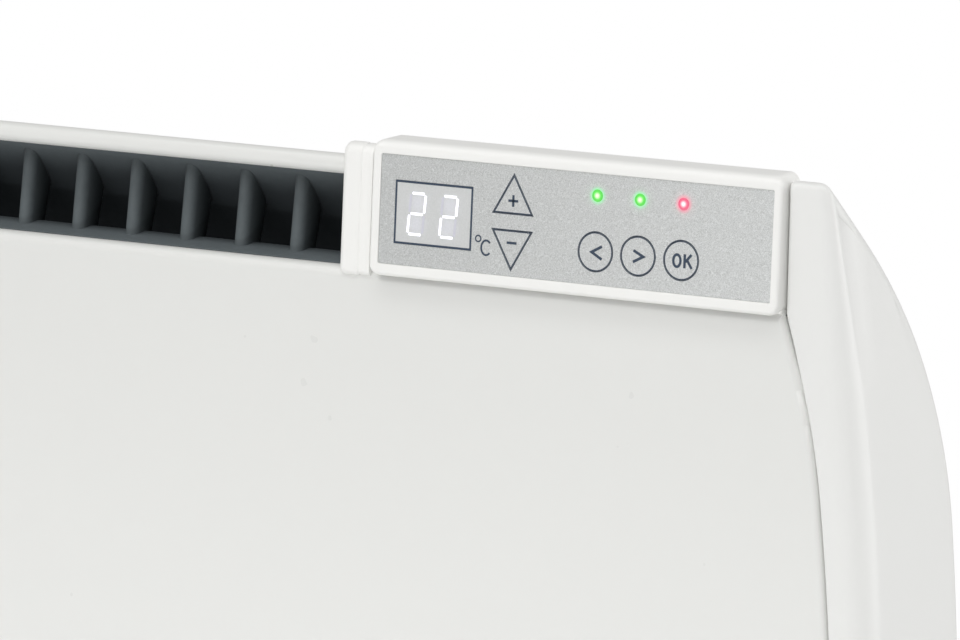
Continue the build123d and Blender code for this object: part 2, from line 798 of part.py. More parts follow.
with BuildPart() as display_window:
    with BuildSketch(face):
        with Locations(display_centre):
            Rectangle(display_size[0] - 2 * display_fit, display_size[1] - 2 * display_fit)
    extrude(amount=-pane_thickness)
save(display_window, "display_window")

segment_face = -(pane_thickness + 0.1)
digit_front = segment_face - segment_thickness
with BuildPart() as digit_display:
    with BuildSketch(face.offset(digit_front)):
        with Locations(display_centre):
            Rectangle(display_body[0], display_body[1])
    extrude(amount=board_front - digit_front)
save(digit_display, "digit_display")

# segment name: end points of its centre line, as shares of the digit's half width and half height
segment_lines = {
    "a": ((-1, 1), (1, 1)),
    "b": ((1, 1), (1, 0)),
    "c": ((1, 0), (1, -1)),
    "d": ((1, -1), (-1, -1)),
    "e": ((-1, -1), (-1, 0)),
    "f": ((-1, 0), (-1, 1)),
    "g": ((-1, 0), (1, 0)),
}


def segment_outline(centre_x, name):
    """One pointed bar of a leaning seven-segment digit."""
    ends = []
    for share_x, share_v in segment_lines[name]:
        ends.append(Vector(share_x * digit_width / 2, share_v * digit_height / 2))
    along = (ends[1] - ends[0]).normalized()
    across = Vector(-along.Y, along.X)
    first = ends[0] + along * segment_joint
    last = ends[1] - along * segment_joint
    half = segment_width / 2
    corners = [
        first,
        first + along * half + across * half,
        last - along * half + across * half,
        last,
        last - along * half - across * half,
        first + along * half - across * half,
    ]
    return [(centre_x + c.X + c.Y * digit_slant, digit_level + c.Y) for c in corners]


def segment_group(names):
    """The same segments of both digits, as separate light pipes."""
    with BuildPart() as group:
        for centre_x in digit_centres:
            for name in names:
                with BuildSketch(face.offset(segment_face)):
                    with BuildLine():
                        Polyline(*segment_outline(centre_x, name), close=True)
                    make_face()
                extrude(amount=-segment_thickness)
    return group


segments_lit = segment_group("abged")
save(segments_lit, "segments_lit")
segments_dark = segment_group("cf")
save(segments_dark, "segments_dark")


def lamp_group(places):
    """Round indicator lamps with a domed head, standing on the board."""
    with BuildPart() as group:
        with BuildSketch(face.offset(board_front)):
            with Locations([(x, led_row) for x in places]):
                Circle(led_radius + 0.3)
        extrude(amount=1.0)
        with BuildSketch(face.offset(board_front)):
            with Locations([(x, led_row) for x in places]):
                Circle(led_radius)
        extrude(amount=-board_front + 0.1)
        tops = group.faces().group_by(Axis(label_centre, tuple(face.z_dir)))[-1]
        fillet(tops.edges(), 0.9)
    return group


green_lamps = lamp_group(led_green_x)
save(green_lamps, "green_lamps")
red_lamp = lamp_group((led_red_x,))
save(red_lamp, "red_lamp")

# ---- keys
key_back = plate_back - 0.1 - key_flange
stem_back = switch_top + key_travel + 0.1 + switch_plunger
key_stems = {name: (x, key_row) for name, x in key_places.items()}
key_stems.update({name: (triangle_x, level) for name, level in triangle_stems.items()})
key_levels = {"key_up": triangle_up, "key_down": triangle_down}


def key_outline(name, grow):
    """Outline of one key on the label."""
    if name in key_levels:
        return triangle_key(key_levels[name], grow)
    with BuildSketch() as sketch:
        with Locations(key_stems[name]):
            Circle(key_radius + grow)
    return sketch.sketch


for key_name, stem_place in key_stems.items():
    with BuildPart() as key:
        with BuildSketch(face):
            add(key_outline(key_name, -key_clearance))
        extrude(amount=key_back)
        with BuildSketch(face.offset(plate_back - 0.1)):
            add(key_outline(key_name, key_flange))
        extrude(amount=-key_flange)
        with BuildSketch(face.offset(key_back)):
            with Locations(stem_place):
                Circle(key_stem_radius)
        extrude(amount=stem_back - key_back)
    save(key, key_name)

# ---- board and what stands on it
board_margin = 0.5
board_levels = (hollow_levels[0] + board_margin, hollow_levels[1] - 3.0)
board_half = hollow_half - board_margin

with BuildPart() as circuit_board:
    add(tilted_block((-board_half, board_half), board_levels, board_front, board_back))
    with BuildSketch(face.offset(board_front)):
        with Locations(module_screw_places):
            Circle(boss_radius + 0.2)
    extrude(amount=-2 * board_thickness, mode=Mode.SUBTRACT)
save(circuit_board, "circuit_board")

with BuildPart() as tact_switches:
    with BuildSketch(face.offset(board_front)):
        with Locations(list(key_stems.values())):
            Rectangle(switch_size, switch_size)
    extrude(amount=switch_height)
    with BuildSketch(face.offset(switch_top)):
        with Locations(list(key_stems.values())):
            Circle(1.7)
    extrude(amount=switch_plunger)
save(tact_switches, "tact_switches")

relay_levels = (-14.4, -4.4)
with BuildPart() as relay:
    add(tilted_block((-46.0, -26.0), relay_levels, board_back, board_back - 8.0))
    fillet(relay.edges().filter_by(Axis((0, 0, 0), tuple(face.z_dir))), 0.8)
save(relay, "relay")

with BuildPart() as mains_capacitor:
    add(tilted_block((-12.0, 5.0), (relay_levels[0], -6.0), board_back, board_back - 6.0))
    fillet(mains_capacitor.edges().filter_by(Axis((0, 0, 0), tuple(face.z_dir))), 0.8)
save(mains_capacitor, "mains_capacitor")

box_front = -skirt_back - back_plate
box_high = 9.5
box_points = [
    (box_front, skirt_low + bezel_wall + back_box_clear),
    (back_box_depth, skirt_low + bezel_wall + back_box_clear),
    (back_box_depth, -1.0),
    (-skirt_back, box_high),
    (box_front, box_high),
]
side_view = Plane(origin=label_centre, x_dir=(0, tilt_cos, -tilt_sin), z_dir=(1, 0, 0))
back_half = hollow_half - back_box_clear
back_levels = (hollow_levels[0] + back_box_clear, hollow_levels[1] - back_box_clear)

with BuildPart() as back_shell:
    with BuildSketch(side_view.offset(-box_half)):
        add(polygon(box_points))
    extrude(amount=2 * box_half)
    add(tilted_block((-back_half, back_half), back_levels, -box_front, skirt_back))
    with BuildSketch(side_view.offset(-box_half + bezel_wall)):
        add(polygon(box_points))
        offset(amount=-bezel_wall, kind=Kind.INTERSECTION, mode=Mode.REPLACE)
    extrude(amount=2 * box_half - 2 * bezel_wall, mode=Mode.SUBTRACT)
    add(
        tilted_block(
            (-box_half + bezel_wall, box_half - bezel_wall),
            (box_points[0][1] + bezel_wall, box_high - bezel_wall),
            -box_front + 1,
            skirt_back - 0.5,
        ),
        mode=Mode.SUBTRACT,
    )
    with BuildSketch(face.offset(-box_front)):
        with Locations(module_screw_places):
            Circle(module_screw_radius + 0.1)
    extrude(amount=-2 * back_plate, mode=Mode.SUBTRACT)
    with BuildSketch(face.offset(skirt_back)):
        with Locations(module_screw_places):
            Circle(module_screw_head[0] + 0.1)
    extrude(amount=module_screw_head[1], mode=Mode.SUBTRACT)
    with BuildSketch(face.offset(-back_box_depth + bezel_wall + 1)):
        with Locations([(x, blade_level) for x in blade_x]):
            Rectangle(2 * blade_half + 0.2, blade_thickness + 0.2)
    extrude(amount=-2 * bezel_wall - 2, mode=Mode.SUBTRACT)
save(back_shell, "back_shell")

with BuildPart() as module_screws:
    with BuildSketch(face.offset(skirt_back)):
        with Locations(module_screw_places):
            Circle(module_screw_head[0])
    extrude(amount=module_screw_head[1])
    with BuildSketch(face.offset(skirt_back)):
        with Locations(module_screw_places):
            Circle(module_screw_radius)
    extrude(amount=-skirt_back + plate_back - 1.0)
save(module_screws, "module_screws")

with BuildPart() as contact_blades:
    with BuildSketch(face.offset(-back_box_depth - blade_reach)):
        with Locations([(x, blade_level) for x in blade_x]):
            Rectangle(2 * blade_half, blade_thickness)
    extrude(amount=back_box_depth + blade_reach + board_back)
save(contact_blades, "contact_blades")

# ---------------------------------------------------------------- heating element
inner_back_y = casing_back_y - sheet
bush_radius = 8.0
bush_length = 8.0
bracket_x = element_half + 14.0
bracket_levels = (element_centre[1] - 32.0, gland_place[1] + 15.0)
flange_low = gland_place[1] - 8.0
pin_terminal_length = 10.0
slit_pitch = 24.0
slit_width = 2.0

with BuildPart() as element_body:
    with BuildSketch(Plane.YZ.offset(-element_half)):
        with Locations(element_centre):
            Circle(element_tube)
            with PolarLocations(0, 4, start_angle=45):
                Rectangle(element_wing, element_wing_thickness, align=(Align.MIN, Align.CENTER))
            Circle(rod_radius + 0.05, mode=Mode.SUBTRACT)
    extrude(amount=2 * element_half)
    slit_count = int((2 * element_half - slit_pitch) / slit_pitch)
    for step in range(slit_count):
        with BuildSketch(Plane.YZ.offset((step - (slit_count - 1) / 2) * slit_pitch - slit_width / 2)):
            with Locations(element_centre):
                Circle(element_wing - 4.0)
                Circle(element_tube + 4.0, mode=Mode.SUBTRACT)
        extrude(amount=slit_width, mode=Mode.SUBTRACT)
save(element_body, "element_body")

rod_half = bracket_x + bush_length / 2 + 1.0
with BuildPart() as element_rod:
    with BuildSketch(Plane.YZ.offset(-rod_half)):
        with Locations(element_centre):
            Circle(rod_radius)
    extrude(amount=2 * rod_half)
    with BuildSketch(Plane.YZ.offset(-rod_half - pin_terminal_length)):
        with Locations(element_centre):
            Circle(pin_terminal_radius)
    extrude(amount=2 * (rod_half + pin_terminal_length))
save(element_rod, "element_rod")

with BuildPart() as element_bushes:
    for bush_x in (-bracket_x, bracket_x):
        with BuildSketch(Plane.YZ.offset(bush_x - bush_length / 2)):
            with Locations(element_centre):
                Circle(bush_radius)
                Circle(rod_radius + 0.05, mode=Mode.SUBTRACT)
        extrude(amount=bush_length)
save(element_bushes, "element_bushes")

flange_width = 12.0
shield_back_y = shield_y + shield_thickness


def element_bracket(flip):
    """Upright sheet bracket from the casing to the heat shield."""
    low, high = bracket_levels
    middle = (low + high) / 2
    with BuildPart() as bracket:
        with BuildSketch(Plane.YZ.offset(bracket_x - bracket_thickness / 2)):
            with Locations(((inner_back_y + shield_back_y) / 2, middle)):
                Rectangle(inner_back_y - shield_back_y, high - low)
            add(body_section(casing_inset + sheet), mode=Mode.INTERSECT)
            with Locations(element_centre):
                Circle(bush_radius + 0.05, mode=Mode.SUBTRACT)
        extrude(amount=bracket_thickness)
        with BuildSketch(Plane.YZ.offset(bracket_x)):
            with Locations((inner_back_y, high)):
                Rectangle(bracket_thickness, high - flange_low, align=(Align.MAX, Align.MAX))
            with Locations((shield_back_y, high)):
                Rectangle(bracket_thickness, high - low, align=(Align.MIN, Align.MAX))
        extrude(amount=-flange_width)
        if flip:
            mirror(about=Plane.YZ, mode=Mode.REPLACE)
    return bracket


right_element_bracket = element_bracket(False)
save(right_element_bracket, "right_element_bracket")
left_element_bracket = element_bracket(True)
save(left_element_bracket, "left_element_bracket")

shield_levels = (33.0 - top_z, top_z - 93.0)
with BuildPart() as heat_shield:
    with BuildSketch(Plane.XZ.offset(-shield_back_y)):
        with Locations((0, (shield_levels[0] + shield_levels[1]) / 2)):
            RectangleRounded(2 * bracket_x + 8.0, shield_levels[1] - shield_levels[0], 6.0)
            with GridLocations(60.0, 150.0, 9, 2):
                SlotOverall(36.0, 3.5, mode=Mode.SUBTRACT)
    extrude(amount=shield_thickness)
save(heat_shield, "heat_shield")

# ---------------------------------------------------------------- cut-out, terminals, gland
cutout_place = (152.0, -50.0)
cutout_z = gland_place[1] + 20.0
cutout_radius = 8.0
cutout_height = 5.0
tag_height = 3.0
tag_spread = 4.0

with BuildPart() as cutout_bracket:
    with BuildSketch(Plane.XY.offset(cutout_z)):
        with Locations((cutout_place[0], inner_back_y)):
            Rectangle(24.0, inner_back_y - cutout_place[1] + 11.0, align=(Align.CENTER, Align.MAX))
    extrude(amount=bracket_thickness)
    with BuildSketch(Plane.XY.offset(cutout_z)):
        with Locations((cutout_place[0], inner_back_y)):
            Rectangle(24.0, bracket_thickness, align=(Align.CENTER, Align.MAX))
    extrude(amount=18.0)
save(cutout_bracket, "cutout_bracket")

cutout_base_z = cutout_z + bracket_thickness
cutout_tag_z = cutout_base_z + cutout_height + tag_height
with BuildPart() as thermal_cutout:
    with BuildSketch(Plane.XY.offset(cutout_base_z)):
        with Locations(cutout_place):
            Circle(cutout_radius)
    extrude(amount=cutout_height)
    with BuildSketch(Plane.XY.offset(cutout_base_z + cutout_height)):
        with Locations(cutout_place):
            with GridLocations(2 * tag_spread, 1, 2, 1):
                Rectangle(3.0, 1.5)
    extrude(amount=tag_height)
save(thermal_cutout, "thermal_cutout")

block_x = (edge_x - 79.0, edge_x - 37.0)
block_z = (gland_place[1] + 14.0, gland_place[1] + 30.0)
block_depth = 16.0
with BuildPart() as terminal_block:
    with BuildSketch(Plane.XZ.offset(-inner_back_y)):
        with Locations(((block_x[0] + block_x[1]) / 2, (block_z[0] + block_z[1]) / 2)):
            RectangleRounded(block_x[1] - block_x[0], block_z[1] - block_z[0], 1.5)
    extrude(amount=block_depth)
    with BuildSketch(Plane.XZ.offset(-inner_back_y + block_depth)):
        with Locations(((block_x[0] + block_x[1]) / 2, (block_z[0] + block_z[1]) / 2)):
            with GridLocations(12.0, 1, 3, 1):
                Circle(2.6)
    extrude(amount=-5.0, mode=Mode.SUBTRACT)
save(terminal_block, "terminal_block")

gland_flange = (11.0, 4.0)
gland_nut = (10.5, 4.0)
with BuildPart() as cable_gland:
    with BuildSketch(Plane.XZ.offset(-casing_back_y)):
        with Locations(gland_place):
            Circle(gland_flange[0])
    extrude(amount=-gland_flange[1])
    with BuildSketch(Plane.XZ.offset(-casing_back_y)):
        with Locations(gland_place):
            Circle(gland_bore + 3.9)
    extrude(amount=sheet + gland_nut[1] + 2.0)
    with BuildSketch(Plane.XZ.offset(-inner_back_y)):
        with Locations(gland_place):
            RegularPolygon(gland_nut[0], 6)
    extrude(amount=gland_nut[1])
    with BuildSketch(Plane.XZ.offset(-casing_back_y)):
        with Locations(gland_place):
            Circle(gland_bore)
    extrude(amount=4 * gland_nut[1], both=True, mode=Mode.SUBTRACT)
save(cable_gland, "cable_gland")

sensor_place = (front_y + 28.0, 45.0 - top_z)
holder_length = 14.0
end_plate_face = end_plate_x - end_plate_thickness / 2
with BuildPart() as sensor_holder:
    with BuildSketch(Plane.YZ.offset(end_plate_face)):
        with Locations(sensor_place):
            RectangleRounded(10.0, 10.0, 2.0)
            Circle(3.05, mode=Mode.SUBTRACT)
    extrude(amount=-holder_length)
save(sensor_holder, "sensor_holder")

with BuildPart() as room_sensor:
    with BuildSketch(Plane.YZ.offset(end_plate_face - 2.0)):
        with Locations(sensor_place):
            Circle(3.0)
    extrude(amount=-holder_length - 3.0)
    fillet(room_sensor.faces().sort_by(Axis.X)[0].edges(), 2.0)
save(room_sensor, "room_sensor")


# ---------------------------------------------------------------- internal wiring
def wire(points):
    """One insulated lead along straight runs and tangent arcs."""
    with BuildPart() as lead:
        with BuildLine() as path:
            FilletPolyline(*points, radius=wire_bend)
        with BuildSketch(Plane(origin=path.line @ 0, z_dir=path.line % 0)):
            Circle(wire_radius)
        sweep()
    return lead.part


socket_foot = face_point((socket_front + socket_back) / 2, socket_low)
socket_wire_x = [label_centre[0] + wire_hole_x + shift for shift in (-5.0, 5.0)]
block_wire_x = [block_x[0] + 9.0, block_x[1] - 9.0]
pin_top = element_centre[1] + pin_terminal_radius + 0.05
pin_x = rod_half + pin_terminal_length / 2
loom_y = inner_back_y - 8.0
loom_z = cutout_z + 24.0

with BuildPart() as wiring_loom:
    # terminal block to the thermostat's socket
    for low_x, high_x in zip(block_wire_x, socket_wire_x):
        add(
            wire(
                [
                    (low_x, loom_y, block_z[1]),
                    (low_x, loom_y, top_z - 93.0),
                    (high_x, socket_foot[0], top_z - 66.0),
                    (high_x, socket_foot[0], socket_foot[1] - 0.15),
                ]
            )
        )
    # right end of the element to the terminal block
    add(
        wire(
            [
                (pin_x, element_centre[0], pin_top),
                (pin_x, element_centre[0], block_z[0] + 8.0),
                (block_x[0] + 6.0, loom_y - 4.0, block_z[0] - 14.0),
                (block_x[0] + 6.0, loom_y - 4.0, block_z[0]),
            ]
        )
    )
    # left end of the element to the cut-out
    add(
        wire(
            [
                (-pin_x, element_centre[0], pin_top),
                (-pin_x, element_centre[0] + 6.0, loom_z - 29.0),
                (-pin_x + 30.0, loom_y, loom_z),
                (cutout_place[0] - tag_spread - 30.0, loom_y, loom_z),
                (cutout_place[0] - tag_spread, cutout_place[1], loom_z),
                (cutout_place[0] - tag_spread, cutout_place[1], cutout_tag_z),
            ]
        )
    )
    # cut-out to the terminal block
    add(
        wire(
            [
                (cutout_place[0] + tag_spread, cutout_place[1], cutout_tag_z),
                (cutout_place[0] + tag_spread, cutout_place[1], loom_z),
                (cutout_place[0] + 60.0, loom_y, loom_z),
                (block_x[0] - 14.0, loom_y, block_z[0] + 7.0),
                (block_x[0], loom_y, block_z[0] + 7.0),
            ]
        )
    )
save(wiring_loom, "wiring_loom")

# ---------------------------------------------------------------- screws of the casing
head_radius = 3.6
head_height = 1.9


def pan_screw(plane, places, shaft_radius, length):
    """Pan-head screws on a plane, heads on its outer side."""
    with BuildPart() as screws:
        with BuildSketch(plane):
            with Locations(places):
                Circle(head_radius)
        extrude(amount=head_height)
        fillet(screws.faces().group_by(Axis(plane.origin, plane.z_dir))[-1].edges(), 1.0)
        with BuildSketch(plane):
            with Locations(places):
                Circle(shaft_radius)
        extrude(amount=-length)
    return screws.part


back_skin = Plane(origin=(0, casing_back_y, 0), x_dir=(1, 0, 0), z_dir=(0, 1, 0))
with BuildPart() as casing_screws:
    back_places = [(x, -z) for x in (-casing_screw_x, casing_screw_x) for z in casing_screw_z]
    add(pan_screw(back_skin, back_places, casing_screw_radius, 6.0))
save(casing_screws, "casing_screws")

with BuildPart() as cradle_screws:
    for screw_x in cradle_screw_x:
        add(pan_screw(slope_plane(screw_x, cradle_screw_z, 0.0), [(0, 0)], casing_screw_radius, 6.0))
save(cradle_screws, "cradle_screws")

with BuildPart() as cap_screws:
    inner_face = Plane(origin=(end_plate_face, 0, 0), x_dir=(0, -1, 0), z_dir=(-1, 0, 0))
    right_places = [(-y, z) for y, z in cap_boss_places]
    add(pan_screw(inner_face, right_places, cap_screw_radius, 10.0))
    mirror(about=Plane.YZ)
save(cap_screws, "cap_screws")

# ---------------------------------------------------------------- hangers and wall bracket
ear_half = 15.0
ear_thickness = 1.5
ear_round = 6.5
base_height = 30.0

with BuildPart() as hanger_brackets:
    for place_x, place_z in hanger_places:
        with BuildSketch(Plane.XZ.offset(-casing_back_y)):
            with Locations((place_x, place_z)):
                Rectangle(2 * ear_half + ear_thickness, base_height)
        extrude(amount=-ear_thickness)
        for ear_x in (place_x - ear_half, place_x + ear_half):
            with BuildSketch(Plane.YZ.offset(ear_x - ear_thickness / 2)):
                with Locations((casing_back_y, place_z)):
                    Rectangle(
                        hanger_y - casing_back_y,
                        2 * ear_round,
                        align=(Align.MIN, Align.CENTER),
                    )
                with Locations((hanger_y, place_z)):
                    Circle(ear_round)
                    Circle(hanger_pin_radius + 0.02, mode=Mode.SUBTRACT)
            extrude(amount=ear_thickness)
save(hanger_brackets, "hanger_brackets")

with BuildPart() as hanger_pins:
    for place_x, place_z in hanger_places:
        with BuildSketch(Plane.YZ.offset(place_x - ear_half - ear_thickness)):
            with Locations((hanger_y, place_z)):
                Circle(hanger_pin_radius)
        extrude(amount=2 * (ear_half + ear_thickness))
save(hanger_pins, "hanger_pins")

bracket_half_height = hanger_z + bracket_reach
tab_front = hanger_y - hanger_pin_radius - 4.5
tab_thickness = 2.0

with BuildPart() as wall_bracket:
    with BuildSketch(Plane.XZ):
        with Locations((-upright_x, 0), (upright_x, 0)):
            RectangleRounded(upright_width, 2 * bracket_half_height, 3.0)
        with Locations((0, -crossbar_z), (0, crossbar_z)):
            Rectangle(2 * upright_x, crossbar_height)
        with GridLocations(hole_spacing[0], hole_spacing[1], 2, 2):
            Circle(wall_hole_radius, mode=Mode.SUBTRACT)
        with Locations([(x, hanger_z) for x in (-upright_x, upright_x)]):
            Circle(2.05, mode=Mode.SUBTRACT)
    extrude(amount=bracket_sheet)
    for place_x in (-upright_x, upright_x):
        for tab_x in (place_x - tab_half_gap, place_x + tab_half_gap):
            with BuildSketch(Plane.YZ.offset(tab_x - tab_thickness / 2)):
                # lower hook, open upwards
                with Locations((0, -hanger_z)):
                    Rectangle(-tab_front, 2 * bracket_reach - 3.0, align=(Align.MAX, Align.CENTER))
                with Locations((hanger_y, -hanger_z)):
                    Circle(hanger_pin_radius + hanger_pin_fit, mode=Mode.SUBTRACT)
                    Rectangle(
                        2 * (hanger_pin_radius + hanger_pin_fit),
                        3 * bracket_reach,
                        align=(Align.CENTER, Align.MIN),
                        mode=Mode.SUBTRACT,
                    )
                # upper catch, open to the front
                with Locations((0, hanger_z)):
                    Rectangle(-tab_front, 2 * bracket_reach - 3.0, align=(Align.MAX, Align.CENTER))
                with Locations((hanger_y, hanger_z)):
                    Circle(hanger_pin_radius + clip_opening + 1.0, mode=Mode.SUBTRACT)
                    Rectangle(
                        3 * bracket_reach,
                        2 * (hanger_pin_radius + clip_opening + 1.0),
                        align=(Align.MAX, Align.CENTER),
                        mode=Mode.SUBTRACT,
                    )
            extrude(amount=tab_thickness)
save(wall_bracket, "wall_bracket")

clip_strip = 0.8
clip_half = tab_half_gap - tab_thickness / 2 - 1.0
clip_inner = hanger_pin_radius + clip_opening
clip_leg = -tab_front - bracket_sheet - 1.0
with BuildPart() as spring_clips:
    for place_x in (-upright_x, upright_x):
        with BuildSketch(Plane.YZ.offset(place_x - clip_half)):
            with Locations((-bracket_sheet, hanger_z)):
                Rectangle(clip_leg, 2 * (clip_inner + clip_strip), align=(Align.MAX, Align.CENTER))
            with Locations((-bracket_sheet - clip_strip, hanger_z)):
                Rectangle(clip_leg, 2 * clip_inner, align=(Align.MAX, Align.CENTER), mode=Mode.SUBTRACT)
        extrude(amount=2 * clip_half)
        with BuildSketch(Plane.XZ):
            with Locations((place_x, hanger_z)):
                Circle(2.05)
        extrude(amount=2 * bracket_sheet + clip_strip, mode=Mode.SUBTRACT)
save(spring_clips, "spring_clips")

with BuildPart() as clip_rivets:
    for place_x in (-upright_x, upright_x):
        with BuildSketch(Plane.XZ.offset(0.1)):
            with Locations((place_x, hanger_z)):
                Circle(2.0)
        extrude(amount=bracket_sheet + clip_strip)
        with BuildSketch(Plane.XZ.offset(bracket_sheet + clip_strip)):
            with Locations((place_x, hanger_z)):
                Circle(3.0)
        extrude(amount=1.2)
save(clip_rivets, "clip_rivets")
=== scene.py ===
"""Looks of the wall panel convector heater: materials, printed label, lamps, light and camera.

Everything is in metres in the row frame: X right, Y towards the wall, Z up.
"""

import functools
import json
import math

import bmesh
import bpy
from mathutils import Matrix, Vector


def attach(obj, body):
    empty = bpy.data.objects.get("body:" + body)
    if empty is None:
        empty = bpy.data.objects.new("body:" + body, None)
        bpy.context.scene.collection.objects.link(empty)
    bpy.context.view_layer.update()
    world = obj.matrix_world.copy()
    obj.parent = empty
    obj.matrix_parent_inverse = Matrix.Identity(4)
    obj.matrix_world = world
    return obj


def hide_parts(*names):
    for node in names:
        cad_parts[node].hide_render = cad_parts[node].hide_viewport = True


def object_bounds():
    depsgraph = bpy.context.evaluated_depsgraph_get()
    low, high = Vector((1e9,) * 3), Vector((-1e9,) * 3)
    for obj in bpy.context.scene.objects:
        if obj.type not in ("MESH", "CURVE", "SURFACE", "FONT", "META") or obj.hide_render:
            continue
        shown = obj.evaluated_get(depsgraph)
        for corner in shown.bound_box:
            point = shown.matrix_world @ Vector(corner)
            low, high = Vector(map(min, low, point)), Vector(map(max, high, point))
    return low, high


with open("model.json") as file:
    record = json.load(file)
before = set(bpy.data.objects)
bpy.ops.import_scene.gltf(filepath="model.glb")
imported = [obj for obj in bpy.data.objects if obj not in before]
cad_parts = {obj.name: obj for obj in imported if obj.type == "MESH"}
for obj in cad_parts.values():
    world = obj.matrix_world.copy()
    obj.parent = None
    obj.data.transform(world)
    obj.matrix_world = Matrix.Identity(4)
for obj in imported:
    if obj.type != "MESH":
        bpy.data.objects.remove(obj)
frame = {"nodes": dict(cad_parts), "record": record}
cad_low, cad_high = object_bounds()
nodes = frame["nodes"]

MM = 0.001

# ---------------------------------------------------------------- the leaning label face
TILT = math.radians(4.44)
LABEL = Vector((256.5, -85.5, 164.6)) * MM
FACE_U = Vector((1, 0, 0))
FACE_V = Vector((0, math.sin(TILT), math.cos(TILT)))
FACE_W = Vector((0, -math.cos(TILT), math.sin(TILT)))

# places on the label from its middle, in mm
LABEL_HALF = 69.5
LAMP_ROW = 10.3
GREEN_X = (8.05, 23.07)
RED_X = 38.3
KEY_ROW = -6.84
KEY_X = {"key_left": 8.08, "key_right": 23.08, "key_ok": 38.2}
KEY_RADIUS = 6.0
TRIANGLE_X = -21.7
TRIANGLE_HALF = 7.0
TRIANGLES = {"key_up": (2.25, 14.25), "key_down": (-2.93, -15.0)}
DIGIT_X = (-56.2, -44.65)
DIGIT_ROW = -0.75
LOOP_RISE, LOOP_SLANT = 3.3, 0.24    # middle of a digit's upper or lower loop


def on_face(u, v, w=0.0):
    """A point of the label, u to the right, v up the face and w out of it, in mm."""
    return LABEL + (FACE_U * u + FACE_V * v + FACE_W * w) * MM


